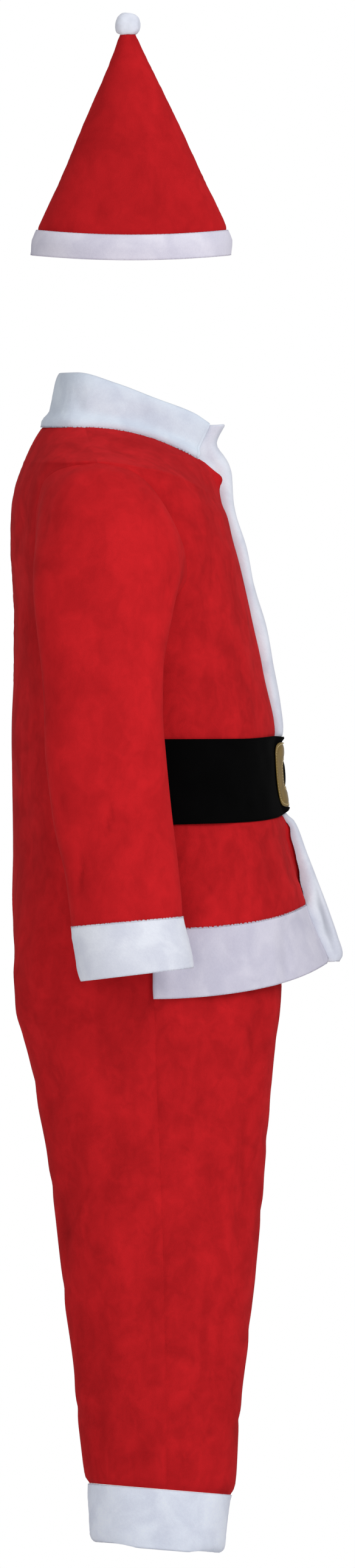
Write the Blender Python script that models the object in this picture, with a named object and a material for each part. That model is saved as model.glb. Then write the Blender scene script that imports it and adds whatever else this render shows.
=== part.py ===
"""Santa suit: a one-piece velour costume with a mock jacket front, and a cap above it.

Metres, +Z up. The wearer faces -Y, so the wearer's right is -X. The origin is the middle of
the neck at the collar seam, where the wearer's shoulders hold the suit up.

The body is a stack of level sections. Each section is a rounded oval with its own back, side
seam and front, and lower down it parts into a leg on each side. Every cut piece is a patch of
that form: the points of the patch are the wall's outer side, the same points moved in along
the normal are its inner side, and the rims are bridged.
"""

import math

import bmesh
import bpy
import numpy as np

# Walls and seams
VELOUR = 0.0025
PLUSH = 0.0035
BELT_CLOTH = 0.0030
VINYL = 0.0015
SEAM_GAP = 0.0003

# Heights on the suit
SHOULDER = -0.0456
ARMPIT = -0.2445
CINCH = -0.385
WAIST = -0.497
HEM_SEAM = -0.630
CROTCH = -0.70
HEM = -0.7155
THIGH = -0.76
LEG_END = -1.328
CUFF_END = -1.404

# How far a plush trim stands proud of the velour it is sewn to
HEM_PROUD = 0.0010
CUFF_PROUD = 0.0005

# Centre front: each front's free edge, the band over both, and its clearance off the curved
# fronts
FRONT_EDGE = 0.028
BAND_HALF = 0.0315
BAND_CLEAR = 0.0018

# Collar: how far round the neck its seam and its top edge run from the centre back, and how
# much narrower and shallower its top is than its seam
COLLAR_SEAM_END = math.radians(146)
COLLAR_END = math.radians(152)
COLLAR_WIDTH = 0.86
COLLAR_DEPTH = 0.93

# Sleeve: the ring at which the plush cuff begins, and the one it ends at
CUFF_RING = 6.0
LAST_RING = 7.0

# Belt: its depth at the front, its sewn ends' distance from the middle, its clearance off the
# curved jacket, and its rise over the band with the distance from the middle where that ends
BELT_DEPTH = 0.0955
BELT_END = 0.22
BELT_CLEAR = 0.0013
BELT_ROWS = (0.0, 0.065, 0.3, 0.5, 0.7, 0.935, 1.0)
BELT_RISE = 0.0055
BELT_LIP = 0.0030
BELT_RAMP = 0.059

# Buckle: outer size, the hole in it, and the power that rounds the corners of both
BUCKLE_HALF_WIDTH = 0.062
BUCKLE_HALF_HEIGHT = 0.041
BUCKLE_MIDDLE = -0.4345
BUCKLE_CLEAR = 0.0008
BUCKLE_CORNER = 0.45
HOLE_HALF_WIDTH = 0.036
HOLE_HALF_HEIGHT = 0.017

# Cap: its tip and its seam, and how far its brim sags at both sides; the tip's inside, as a
# share of its outside and moved forward to stay inside the lean of the wall
CAP_TOP = 0.4872
CAP_SEAM = 0.2455
CAP_SAG = 0.0060
TIP_INSIDE = 0.55
TIP_FORWARD = -0.0033

# Pompom: its middle, its radii, and the power that makes it squarer than a ball
POMPOM_CENTRE = (0.0, -0.0076, 0.5025)
POMPOM_RADII = (0.0155, 0.0160, 0.0150)
POMPOM_POWER = 2.2

RED = (0.52, 0.012, 0.016, 1.0)
WHITE = (0.80, 0.81, 0.86, 1.0)
BLACK = (0.006, 0.006, 0.006, 1.0)
GOLD = (0.42, 0.29, 0.07, 1.0)


def table(names, rows):
    """Columns of a table by name; its first column is the station, in falling order."""
    return dict(zip(names.split(), np.array(rows, float).T))


# half: side seam's distance from the middle. back, seam: y of the centre back and the side
# seam. power: 1 is an ellipse, less is squarer. leg, inseam: distance of the leg's axis and
# of its inner edge from the middle. tilt: how fast a section falls towards the front.
BODY = table("z half back seam power leg inseam tilt", [
    (0.0000, 0.085, 0.0985, 0.045, 1.00, 0.000, -0.085, 0.00),
    (-0.0150, 0.125, 0.1080, 0.042, 1.00, 0.000, -0.125, 0.00),
    (-0.0285, 0.165, 0.1150, 0.037, 1.00, 0.000, -0.165, 0.00),
    (-0.0400, 0.200, 0.1200, 0.032, 1.00, 0.000, -0.200, 0.00),
    (-0.0456, 0.215, 0.1225, 0.030, 1.00, 0.000, -0.215, 0.00),
    (-0.0760, 0.224, 0.1330, 0.024, 0.95, 0.000, -0.224, 0.00),
    (-0.1060, 0.228, 0.1383, 0.018, 0.92, 0.000, -0.228, 0.00),
    (-0.1520, 0.230, 0.1392, 0.012, 0.90, 0.000, -0.230, 0.00),
    (-0.1980, 0.229, 0.1368, 0.006, 0.90, 0.000, -0.229, 0.00),
    (-0.2445, 0.227, 0.1350, 0.000, 0.90, 0.000, -0.227, 0.00),
    (-0.3200, 0.223, 0.1353, -0.012, 0.88, 0.000, -0.223, 0.00),
    (-0.3900, 0.2205, 0.1368, -0.021, 0.86, 0.000, -0.221, 0.00),
    (-0.4600, 0.220, 0.1360, -0.028, 0.86, 0.000, -0.220, 0.00),
    (-0.5200, 0.221, 0.1355, -0.033, 0.86, 0.004, -0.180, 0.00),
    (-0.5600, 0.222, 0.1353, -0.035, 0.87, 0.020, -0.110, 0.00),
    (-0.6080, 0.223, 0.1353, -0.037, 0.88, 0.052, -0.048, 0.00),
    (-0.6500, 0.223, 0.1362, -0.038, 0.89, 0.083, -0.018, 0.00),
    (-0.6800, 0.222, 0.1362, -0.039, 0.90, 0.101, -0.006, 0.00),
    (-0.7000, 0.221, 0.1350, -0.039, 0.90, 0.109, 0.0004, 0.00),
    (-0.7300, 0.219, 0.1330, -0.041, 0.90, 0.1105, 0.0020, 0.00),
    (-0.7600, 0.217, 0.1262, -0.042, 0.90, 0.1105, 0.0032, 0.00),
    (-0.8210, 0.213, 0.1122, -0.044, 0.91, 0.1095, 0.0060, 0.00),
    (-0.9120, 0.208, 0.0935, -0.048, 0.92, 0.1085, 0.0095, 0.00),
    (-1.0030, 0.203, 0.0830, -0.051, 0.93, 0.1080, 0.0135, 0.01),
    (-1.1250, 0.196, 0.0683, -0.054, 0.94, 0.1080, 0.0200, 0.03),
    (-1.2460, 0.189, 0.0530, -0.056, 0.95, 0.1080, 0.0270, 0.06),
    (-1.3280, 0.184, 0.0450, -0.056, 0.95, 0.1080, 0.0320, 0.08),
    (-1.4040, 0.182, 0.0400, -0.056, 0.95, 0.1080, 0.0340, 0.08),
])

# front: y of the centre front. drop: how far a section falls from the side seam to there.
# flare: how far it stands out from the body at the side seam.
JACKET = table("z front drop flare", [
    (0.0000, -0.1245, 0.0570, 0.0),
    (-0.0150, -0.1244, 0.0550, 0.0),
    (-0.0285, -0.1240, 0.0530, 0.0),
    (-0.0456, -0.1260, 0.0500, 0.0),
    (-0.0700, -0.1338, 0.0440, 0.0),
    (-0.1000, -0.1398, 0.0370, 0.0),
    (-0.1400, -0.1482, 0.0280, 0.0),
    (-0.1900, -0.1566, 0.0160, 0.0),
    (-0.2445, -0.1664, 0.0060, 0.0),
    (-0.3000, -0.1767, 0.0000, 0.0),
    (-0.3850, -0.1918, 0.0000, 0.0),
    (-0.3950, -0.1902, 0.0000, 0.0),
    (-0.4200, -0.1910, 0.0000, 0.0),
    (-0.4430, -0.1926, 0.0000, 0.0),
    (-0.4780, -0.1985, 0.0000, 0.0012),
    (-0.4970, -0.2068, -0.0010, 0.0036),
    (-0.5140, -0.2078, -0.0022, 0.0038),
    (-0.5300, -0.2118, -0.0040, 0.0040),
    (-0.5600, -0.2178, -0.0090, 0.0042),
    (-0.5800, -0.2214, -0.0125, 0.0043),
    (-0.6000, -0.2280, -0.0160, 0.0044),
    (-0.6400, -0.2335, -0.0210, 0.0046),
    (-0.6800, -0.2455, -0.0280, 0.0050),
    (-0.7155, -0.2590, -0.0340, 0.0055),
])

TROUSERS = table("z front", [
    (-0.4970, -0.1985),
    (-0.5600, -0.2000),
    (-0.6500, -0.2005),
    (-0.7140, -0.1990),
    (-0.7600, -0.1945),
    (-0.8210, -0.1882),
    (-0.9120, -0.1802),
    (-1.0030, -0.1725),
    (-1.1250, -0.1583),
    (-1.2460, -0.1460),
    (-1.3280, -0.1405),
    (-1.3400, -0.1368),
    (-1.4040, -0.1300),
])

# y of the armhole seam on the back and on the front, from the shoulder to the armpit
ARMHOLE = table("z back front", [
    (-0.0456, 0.0300, 0.0300),
    (-0.0500, 0.0640, -0.0040),
    (-0.0570, 0.0835, -0.0225),
    (-0.0700, 0.0980, -0.0385),
    (-0.0920, 0.1040, -0.0535),
    (-0.1200, 0.1075, -0.0690),
    (-0.1500, 0.1080, -0.0800),
    (-0.1800, 0.1050, -0.0820),
    (-0.2070, 0.0940, -0.0720),
    (-0.2280, 0.0700, -0.0510),
    (-0.2400, 0.0370, -0.0260),
    (-0.2445, 0.0000, 0.0000),
])

# Rings of the sleeve from the armhole to the end of the cuff. Each is an oval through an
# outer point, an inner point, a back and a front; keep: how much of the armhole's own shape
# the ring still has; tilt: how fast it rises towards the front.
SLEEVE = table("ring outer outer_z inner inner_z back front keep tilt", [
    (0.0, 0.2155, -0.0456, 0.2315, -0.2445, 0.0980, -0.0690, 1.00, 0.00),
    (-0.5, 0.2360, -0.0540, 0.2335, -0.2490, 0.1040, -0.0730, 0.62, 0.00),
    (-1.0, 0.2590, -0.0720, 0.2345, -0.2540, 0.1080, -0.0765, 0.34, 0.00),
    (-1.5, 0.2810, -0.1000, 0.2355, -0.2600, 0.1090, -0.0765, 0.16, 0.00),
    (-2.0, 0.2990, -0.1370, 0.2365, -0.2680, 0.1080, -0.0730, 0.06, 0.00),
    (-2.5, 0.3120, -0.1800, 0.2375, -0.2790, 0.1060, -0.0670, 0.00, 0.00),
    (-3.0, 0.3210, -0.2300, 0.2385, -0.2960, 0.1030, -0.0590, 0.00, 0.00),
    (-3.5, 0.3270, -0.2850, 0.2395, -0.3250, 0.0990, -0.0525, 0.00, 0.01),
    (-4.0, 0.3310, -0.3450, 0.2405, -0.3700, 0.0955, -0.0510, 0.00, 0.02),
    (-4.5, 0.3345, -0.4120, 0.2410, -0.4260, 0.0930, -0.0550, 0.00, 0.03),
    (-5.0, 0.3360, -0.4800, 0.2415, -0.4860, 0.0860, -0.0605, 0.00, 0.05),
    (-5.5, 0.3370, -0.5500, 0.2415, -0.5520, 0.0720, -0.0690, 0.00, 0.07),
    (-6.0, 0.3370, -0.6210, 0.2415, -0.6210, 0.0620, -0.0765, 0.00, 0.09),
    (-6.5, 0.3395, -0.6540, 0.2405, -0.6540, 0.0560, -0.0835, 0.00, 0.11),
    (-7.0, 0.3400, -0.6865, 0.2400, -0.6865, 0.0500, -0.0900, 0.00, 0.12),
])

# Ridge of the centre-front band, and y of its edges where it stands free above the fronts
FRONT_BAND = table("z ridge edge", [
    (0.0015, -0.1307, -0.1080),
    (-0.0220, -0.1195, -0.1020),
    (-0.0400, -0.1310, -0.1020),
    (-0.0475, -0.1352, -0.1235),
    (-0.0608, -0.1390, -0.1235),
    (-0.0912, -0.1406, -0.1235),
    (-0.1064, -0.1429, -0.1260),
    (-0.1520, -0.1573, -0.1400),
    (-0.2128, -0.1710, -0.1560),
    (-0.2584, -0.1839, -0.1660),
    (-0.3192, -0.1953, -0.1760),
    (-0.3500, -0.1999, -0.1860),
    (-0.3760, -0.2020, -0.1880),
    (-0.3840, -0.1975, -0.1880),
    (-0.3950, -0.1958, -0.1880),
    (-0.4200, -0.1966, -0.1890),
    (-0.4430, -0.1982, -0.1900),
    (-0.4630, -0.2015, -0.1930),
    (-0.4780, -0.2041, -0.1960),
    (-0.4840, -0.2068, -0.1980),
    (-0.4900, -0.2150, -0.2000),
    (-0.5016, -0.2218, -0.2060),
    (-0.5320, -0.2326, -0.2150),
    (-0.5620, -0.2432, -0.2230),
    (-0.6080, -0.2607, -0.2290),
    (-0.6384, -0.2713, -0.2350),
    (-0.6600, -0.2774, -0.2450),
    (-0.6690, -0.2730, -0.2480),
])

# Belt edges, from the side seam (0) to the centre front (1)
BELT = table("forward top bottom", [
    (0.0, -0.3910, -0.4985),
    (-0.5, -0.3900, -0.4950),
    (-0.9, -0.3865, -0.4860),
    (-1.0, -0.3865, -0.4820),
])

# How far the collar stands out from a straight line between its seam (0) and its top (1)
COLLAR = table("up out", [
    (0.0, 0.0),
    (-0.1, 0.0012),
    (-0.3, -0.0030),
    (-0.6, -0.0010),
    (-0.9, 0.0008),
    (-1.0, 0.0),
])

# Top edge of the collar, from the back to its front ends
COLLAR_TOP = table("y z", [
    (0.0775, 0.0670),
    (0.0570, 0.0676),
    (0.0076, 0.0545),
    (-0.0418, 0.0357),
    (-0.0912, 0.0167),
    (-0.1080, 0.0060),
])

# round: side-to-side width over front-to-back width
CAP = table("z back front round", [
    (0.4872, 0.0020, -0.0165, 1.00),
    (0.4560, 0.0144, -0.0334, 0.95),
    (0.3830, 0.0456, -0.0692, 0.82),
    (0.3100, 0.0760, -0.1026, 0.72),
    (0.2440, 0.1062, -0.1326, 0.66),
    (0.2290, 0.1117, -0.1360, 0.66),
    (0.2130, 0.1130, -0.1360, 0.66),
])

# Soft folds: a line from (y, z) to (y, z) with its depth inwards and its half-width
BACK_FOLDS = table("y0 z0 y1 z1 depth width", [
    (0.125, -0.195, 0.092, -0.300, 0.0050, 0.020),
    (0.112, -0.760, 0.076, -0.860, 0.0060, 0.022),
    (0.066, -0.900, 0.047, -1.060, 0.0050, 0.020),
    (0.050, -1.110, 0.030, -1.250, 0.0035, 0.018),
])
TROUSER_FOLDS = table("y0 z0 y1 z1 depth width", [
    (-0.170, -0.730, -0.152, -0.860, 0.0045, 0.018),
    (-0.150, -0.900, -0.152, -1.040, 0.0040, 0.018),
    (-0.120, -1.120, -0.100, -1.260, 0.0030, 0.018),
])
JACKET_FOLDS = table("y0 z0 y1 z1 depth width", [
    (-0.120, -0.150, -0.075, -0.270, 0.0035, 0.020),
    (-0.185, -0.520, -0.165, -0.600, 0.0045, 0.018),
    (-0.120, -0.520, -0.135, -0.620, 0.0035, 0.020),
])
SLEEVE_FOLDS = table("y0 z0 y1 z1 depth width", [
    (0.090, -0.100, 0.102, -0.170, 0.0050, 0.018),
    (-0.070, -0.175, -0.052, -0.235, 0.0060, 0.018),
    (0.050, -0.500, 0.046, -0.570, 0.0040, 0.018),
    (0.008, -0.480, 0.020, -0.525, 0.0030, 0.016),
])


def read(rows, column, station):
    """Value of a column at a station: a smooth curve through the rows that never overshoots."""
    key = next(iter(rows))
    x, y = rows[key][::-1], rows[column][::-1]
    step, rise = np.diff(x), np.diff(y) / np.diff(x)
    slope = np.zeros_like(y)
    same_way = rise[1:] * rise[:-1] > 0
    harmonic = 2 * rise[1:] * rise[:-1] / np.where(same_way, rise[1:] + rise[:-1], 1.0)
    slope[1:-1] = np.where(same_way, harmonic, 0.0)
    slope[0], slope[-1] = rise[0], rise[-1]
    at = np.clip(np.asarray(station, float), x[0], x[-1])
    i = np.clip(np.searchsorted(x, at) - 1, 0, len(step) - 1)
    t = (at - x[i]) / step[i]
    return (y[i] * (1 + 2 * t) * (1 - t) ** 2 + y[i + 1] * t * t * (3 - 2 * t)
            + slope[i] * step[i] * t * (1 - t) ** 2 + slope[i + 1] * step[i] * t * t * (t - 1))


def signed_power(value, power):
    return np.sign(value) * np.abs(value) ** power


def body(z, angle, jacket=False):
    """Point of the right half of the body at a level and an angle.

    The angle runs from 0 at the back through 90 degrees at the side seam to 180 at the front;
    a leg goes on round to its inseam, at -90 or 270 degrees.
    """
    z, angle = np.broadcast_arrays(np.asarray(z, float), np.asarray(angle, float))
    half, back, seam, power, tilt = (read(BODY, c, z) for c in ("half", "back", "seam", "power", "tilt"))
    if jacket:
        front, drop = read(JACKET, "front", z), read(JACKET, "drop", z)
        half = half + read(JACKET, "flare", z)
        leg, inner = np.zeros_like(z), half
        power = power - 0.05 * np.clip((WAIST - z) / 0.06, 0, 1)
    else:
        front, drop = read(TROUSERS, "front", z), np.zeros_like(z)
        leg = read(BODY, "leg", z)
        inner = leg - read(BODY, "inseam", z)
    s, c = signed_power(np.sin(angle), power), signed_power(np.cos(angle), power)
    x = leg + np.where(s > 0, half - leg, inner) * s
    y = seam + np.where(c > 0, back - seam, seam - front) * c
    forward = np.clip((seam - y) / (seam - front), 0, None)
    return np.stack([-x, y, z - drop * forward ** 2 + tilt * (y - seam)], axis=-1)


def form_normal(form, z, angle):
    """Outward unit normal of a form, from its slopes along the level and the angle."""
    small = 1e-4
    along = form(z, angle + small) - form(z, angle - small)
    down = form(z - small, angle) - form(z + small, angle)
    normal = np.cross(down, along)
    return normal / np.linalg.norm(normal, axis=-1, keepdims=True)


def grid_normal(points, ring):
    """Outward unit normals of a grid whose rows run down and whose columns run round."""
    if ring:
        along = np.roll(points, -1, axis=1) - np.roll(points, 1, axis=1)
    else:
        along = np.gradient(points, axis=1)
    normal = np.cross(along, np.gradient(points, axis=0))
    return normal / np.linalg.norm(normal, axis=-1, keepdims=True)


def folded(points, normals, folds):
    """The points pressed in along each fold, deepest half-way along it."""
    flat, shift = points[..., 1:], np.zeros(points.shape[:-1])
    for y0, z0, y1, z1, depth, width in zip(*folds.values()):
        start, run = np.array([y0, z0]), np.array([y1 - y0, z1 - z0])
        t = np.clip(((flat - start) @ run) / (run @ run), 0, 1)
        away = np.linalg.norm(flat - start - t[..., None] * run, axis=-1)
        shift += depth * np.exp(-(away / width) ** 2) * np.sin(math.pi * (0.15 + 0.7 * t))
    return points - shift[..., None] * normals


def trimmed(points, first=SEAM_GAP / 2, last=SEAM_GAP / 2):
    """The grid with its first and last columns drawn back, which leaves the seam's gap."""
    out = points.copy()
    for edge, inward, gap in ((0, 1, first), (-1, -2, last)):
        run = points[:, inward] - points[:, edge]
        out[:, edge] += gap * run / np.linalg.norm(run, axis=-1, keepdims=True)
    return out


def material(name, colour, roughness, metallic=0.0):
    made = bpy.data.materials.new(name)
    made.use_nodes = True
    shader = made.node_tree.nodes["Principled BSDF"]
    shader.inputs["Base Color"].default_value = colour
    shader.inputs["Roughness"].default_value = roughness
    shader.inputs["Metallic"].default_value = metallic
    return made


def solid(name, outer, inner, look, ring=False, cap=False):
    """One closed wall between two grids of points, its rims bridged.

    ring joins the last column to the first; cap closes the first row instead of bridging it.
    """
    rows, columns = outer.shape[:2]
    index = np.arange(rows * columns).reshape(rows, columns)
    if ring:
        index = np.concatenate([index, index[:, :1]], axis=1)
    other = index + rows * columns
    faces = []

    def strip(a, b):
        """Quads between two lines of vertex numbers."""
        faces.extend(np.stack([a[:-1], a[1:], b[1:], b[:-1]], axis=1).tolist())

    for upper, lower in zip(index[:-1], index[1:]):
        strip(lower, upper)
    for upper, lower in zip(other[:-1], other[1:]):
        strip(upper, lower)
    strip(other[-1], index[-1])
    if cap:
        faces.append(index[0, :-1].tolist())
        faces.append(other[0, -2::-1].tolist())
    else:
        strip(index[0], other[0])
    if not ring:
        strip(other[:, 0], index[:, 0])
        strip(index[:, -1], other[:, -1])

    mesh = bpy.data.meshes.new(name)
    points = np.concatenate([outer.reshape(-1, 3), inner.reshape(-1, 3)])
    mesh.from_pydata(points.tolist(), [], faces)
    shell = bmesh.new()
    shell.from_mesh(mesh)
    bmesh.ops.recalc_face_normals(shell, faces=shell.faces)
    shell.to_mesh(mesh)
    shell.free()
    mesh.shade_smooth()
    mesh.set_sharp_from_angle(angle=math.radians(50))
    mesh.materials.append(look)
    made = bpy.data.objects.new(name, mesh)
    bpy.context.scene.collection.objects.link(made)
    return made


def pair(name, outer, inner, look, **options):
    """The right piece as given, and the left one as its mirror image."""
    solid(f"{name}_right", outer, inner, look, **options)
    across = np.array([-1.0, 1.0, 1.0])
    solid(f"{name}_left", outer[:, ::-1] * across, inner[:, ::-1] * across, look, **options)


def spread(start, end, count):
    """A grid of values, one row for each start and end, evenly spaced along the row."""
    t = np.linspace(0, 1, count)
    start, end = np.asarray(start, float)[:, None], np.asarray(end, float)[:, None]
    return start + (end - start) * t


def armhole_angle(z, edge):
    """Angle at which a level's section meets the armhole, or the side seam clear of it."""
    seam, power = read(BODY, "seam", z), read(BODY, "power", z)
    side = read(BODY, "back", z) if edge == "back" else read(JACKET, "front", z)
    cosine = np.clip((read(ARMHOLE, edge, z) - seam) / (side - seam), 0, 1) ** (1 / power)
    cosine = np.where((z < SHOULDER) & (z > ARMPIT), cosine, 0.0)
    return np.arccos(cosine) if edge == "back" else math.pi - np.arccos(cosine)


def centre_angle(z):
    """Angle at which the back or the trouser front reaches the middle or its inseam."""
    leg, inseam, power = (read(BODY, c, z) for c in ("leg", "inseam", "power"))
    sine = np.clip((leg - SEAM_GAP / 2) / (leg - inseam), -1, 1)
    return -np.arcsin(signed_power(sine, 1 / power))


def edge_angle(z, distance):
    """Angle at which the jacket's front lies a given distance from the middle."""
    half, power = read(BODY, "half", z) + read(JACKET, "flare", z), read(BODY, "power", z)
    return math.pi - np.arcsin((distance / half) ** (1 / power))


def jacket(z, angle):
    return body(z, angle, jacket=True)


def make_backs(levels, look):
    angle = spread(centre_angle(levels), armhole_angle(levels, "back"), 12)
    z = np.broadcast_to(levels[:, None], angle.shape)
    normals = form_normal(body, z, angle)
    points = trimmed(folded(body(z, angle), normals, BACK_FOLDS), first=0.0)
    points[:, 0] = np.where(levels[:, None] < CROTCH, trimmed(points)[:, 0], points[:, 0])
    pair("back", points, points - VELOUR * normals, look)


def make_jacket_fronts(levels, look):
    angle = spread(armhole_angle(levels, "front"), edge_angle(levels, FRONT_EDGE), 11)
    z = np.broadcast_to(levels[:, None], angle.shape)
    normals = form_normal(jacket, z, angle)
    points = trimmed(folded(jacket(z, angle), normals, JACKET_FOLDS), last=0.0)
    pair("jacket_front", points, points - VELOUR * normals, look)


def make_hem_bands(levels, look):
    side = np.full(len(levels), math.pi / 2)
    angle = spread(side, edge_angle(levels, BAND_HALF + 0.004), 12)
    z = np.broadcast_to(levels[:, None], angle.shape)
    normals = form_normal(jacket, z, angle)
    points = trimmed(jacket(z, angle), last=0.0)
    pair("hem_band", points + HEM_PROUD * normals, points + (HEM_PROUD - PLUSH) * normals, look)


def make_trouser_fronts(levels, look):
    side = np.full(len(levels), math.pi / 2)
    angle = spread(side, math.pi - centre_angle(levels), 12)
    z = np.broadcast_to(levels[:, None], angle.shape)
    normals = form_normal(body, z, angle)
    points = trimmed(folded(body(z, angle), normals, TROUSER_FOLDS), last=0.0)
    points[:, -1] = np.where(levels[:, None] < CROTCH, trimmed(points)[:, -1], points[:, -1])
    pair("trouser_front", points, points - VELOUR * normals, look)


def make_trouser_cuffs(look):
    levels = np.linspace(LEG_END - SEAM_GAP, CUFF_END, 4)
    angle = np.linspace(0, 2 * math.pi, 24, endpoint=False)
    z, angle = np.meshgrid(levels, angle, indexing="ij")
    normals = form_normal(body, z, angle)
    points = body(z, angle) + CUFF_PROUD * normals
    pair("trouser_cuff", points, points - PLUSH * normals, look, ring=True)


def sleeve_rings(stations, armhole):
    """Rings of the sleeve; the first is the armhole itself, and its shape fades down the arm."""
    def oval(station, turn):
        outer, outer_z, inner, inner_z, back, front, tilt = (
            read(SLEEVE, c, station)
            for c in ("outer", "outer_z", "inner", "inner_z", "back", "front", "tilt"))
        c, s = np.cos(turn), np.sin(turn)
        x = (outer + inner) / 2 + (outer - inner) / 2 * c
        y = (back + front) / 2 + (back - front) / 2 * s
        z = (outer_z + inner_z) / 2 + (outer_z - inner_z) / 2 * c
        return np.stack([-x, y, z - tilt * (y - (back + front) / 2)], axis=-1)

    deepest, foremost = ARMHOLE["back"].max(), ARMHOLE["front"].min()
    across = (armhole[:, 1] - (deepest + foremost) / 2) / (deepest - foremost)
    up = (armhole[:, 2] - (SHOULDER + ARMPIT) / 2) / (SHOULDER - ARMPIT)
    turn = np.unwrap(np.arctan2(across, up))
    station, turn = np.meshgrid(stations, turn, indexing="ij")
    own = armhole - oval(np.zeros(armhole.shape[0]), turn[0])
    return oval(station, turn) + read(SLEEVE, "keep", station)[..., None] * own


def make_sleeves(velour, plush):
    z = ARMHOLE["z"]
    back = body(z, armhole_angle(z, "back"))
    front = jacket(z, armhole_angle(z, "front"))
    armhole = np.concatenate([back, front[-2:0:-1]])
    armhole[:, 0] -= 2 * SEAM_GAP
    stations = -np.concatenate([np.arange(0, 3.0, 0.5), np.arange(3.0, CUFF_RING + 0.1, 0.375)])
    cuff = -np.linspace(CUFF_RING, LAST_RING, 4)
    rings = sleeve_rings(np.concatenate([stations, cuff]), armhole)
    sleeve, end = rings[:len(stations)], rings[len(stations):].copy()
    normals = grid_normal(sleeve, ring=True)
    sleeve = folded(sleeve, normals, SLEEVE_FOLDS)
    end[0, :, 2] -= SEAM_GAP
    end_normals = grid_normal(end, ring=True)
    end_normals[0] = normals[-1]
    end += CUFF_PROUD * end_normals
    pair("sleeve", sleeve, sleeve - VELOUR * normals, velour, ring=True)
    pair("sleeve_cuff", end, end - PLUSH * end_normals, plush, ring=True)


def make_collar(look):
    """A stand collar open at the front, leaning in towards its top and puffed at its seam."""
    places = np.linspace(-1, 1, 25)
    base, over = (jacket(np.zeros_like(places), end * np.abs(places))
                  for end in (COLLAR_SEAM_END, COLLAR_END))
    base[:, 2] += 2 * SEAM_GAP
    y = COLLAR_TOP["y"][0] + COLLAR_DEPTH * (over[:, 1] - over[:, 1].max())
    top = np.stack([COLLAR_WIDTH * over[:, 0], y, read(COLLAR_TOP, "z", y)], axis=-1)
    for line in (base, top):
        line[:, 0] *= np.sign(places)
    up = np.array([1.0, 0.72, 0.42, 0.2, 0.08, 0.0])[:, None, None]
    points = base + (top - base) * up
    normals = -grid_normal(points, ring=False)
    points = points + read(COLLAR, "out", -up) * normals
    solid("collar", points, points - PLUSH * normals, look)


def front_surface(x, z):
    """y of the jacket's front at a distance from the middle and a height."""
    level = z + 0.0
    for _ in range(8):
        level = z + read(JACKET, "drop", level)
    return jacket(level, edge_angle(level, np.maximum(np.abs(x), 1e-4)))[..., 1]


def band_points(z, across):
    """Outer points of the centre-front band: a flat-topped arch, across from -1 to 1."""
    x = BAND_HALF * across
    ridge = read(FRONT_BAND, "ridge", z)
    on_front = front_surface(np.full_like(z, BAND_HALF), z) - BAND_CLEAR
    free = read(FRONT_BAND, "edge", z)
    edge = np.where(z < JACKET["z"][0] - JACKET["drop"][0] - 0.004, on_front, free)
    y = ridge + (edge - ridge) * np.abs(across) ** 3
    return np.stack([x, y, z], axis=-1)


def make_front_band(look):
    rows = FRONT_BAND["z"]
    between = ((rows[1:] + rows[:-1]) / 2)[rows[:-1] - rows[1:] > 0.035]
    levels = -np.sort(-np.concatenate([rows, between]))
    z, across = np.meshgrid(levels, np.linspace(-1, 1, 9), indexing="ij")
    points = band_points(z, across)
    inner = points + PLUSH * grid_normal(points, ring=False)
    inner[..., 1] = np.minimum(inner[..., 1], points[:, :1, 1])
    solid("front_band", points, inner, look)


def belt_lift(x):
    """How far the belt's outer side stands off the jacket: more where it crosses the band."""
    over = np.clip((BELT_RAMP - np.abs(x)) / (BELT_RAMP - BAND_HALF), 0, 1)
    return BELT_CLEAR + BELT_CLOTH + BELT_RISE * over * over * (3 - 2 * over)


def belt_points(x, down):
    """Outer points of the belt and their normals, at a distance from the middle of the front
    (negative on the right side) and from the top (0) to the bottom (1)."""
    half = read(BODY, "half", BUCKLE_MIDDLE)
    angle = math.pi - np.arcsin(np.clip(np.abs(x) / half, 0, 1) ** (1 / read(BODY, "power", BUCKLE_MIDDLE)))
    forward = 1 - angle / (math.pi / 2)
    top, bottom = read(BELT, "top", forward), read(BELT, "bottom", forward)
    z = top + (bottom - top) * down
    side = np.where(x > 0, -1.0, 1.0)[..., None] * np.array([1.0, 0, 0]) + np.array([0, 1.0, 1.0])
    points, normals = jacket(z, angle) * side, form_normal(jacket, z, angle) * side
    near = np.clip(1 - np.abs(x) / BELT_RAMP, 0, 1)
    lip = BELT_LIP * near * np.clip((np.abs(2 * down - 1) - 0.87) / 0.13, 0, 1)
    return points + (belt_lift(x) + lip)[..., None] * normals, normals


def make_belt(look):
    near = np.linspace(0, BELT_RAMP, 9)
    turn = np.linspace(math.asin(BELT_RAMP / BELT_END), math.pi / 2, 9)[1:]
    half = np.concatenate([near, BELT_END * np.sin(turn)])
    down, x = np.meshgrid(BELT_ROWS, np.concatenate([-half[:0:-1], half]), indexing="ij")
    points, normals = belt_points(x, down)
    solid("belt", points, points - BELT_CLOTH * normals, look)


def make_buckle(look):
    """A rounded frame that lies on the belt, from its outer edge in to the rim of its hole."""
    turn = np.linspace(0, 2 * math.pi, 40, endpoint=False)
    out, turn = np.meshgrid(np.linspace(1, 0, 4), turn, indexing="ij")
    wide = HOLE_HALF_WIDTH + (BUCKLE_HALF_WIDTH - HOLE_HALF_WIDTH) * out
    high = HOLE_HALF_HEIGHT + (BUCKLE_HALF_HEIGHT - HOLE_HALF_HEIGHT) * out
    x = wide * signed_power(np.cos(turn), BUCKLE_CORNER)
    down = 0.5 - high * signed_power(np.sin(turn), BUCKLE_CORNER) / BELT_DEPTH
    points, normals = belt_points(x, down)
    under = points + BUCKLE_CLEAR * normals
    solid("buckle", under + VINYL * normals, under, look, ring=True)


def cap_points(z, angle):
    back, front, round_ = (read(CAP, c, z) for c in ("back", "front", "round"))
    deep = (back - front) / 2
    sag = CAP_SAG * np.sin(angle) ** 2 * np.clip((0.33 - z) / 0.08, 0, 1)
    return np.stack([-deep * round_ * np.sin(angle), (back + front) / 2 + deep * np.cos(angle),
                     z - sag], axis=-1)


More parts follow.
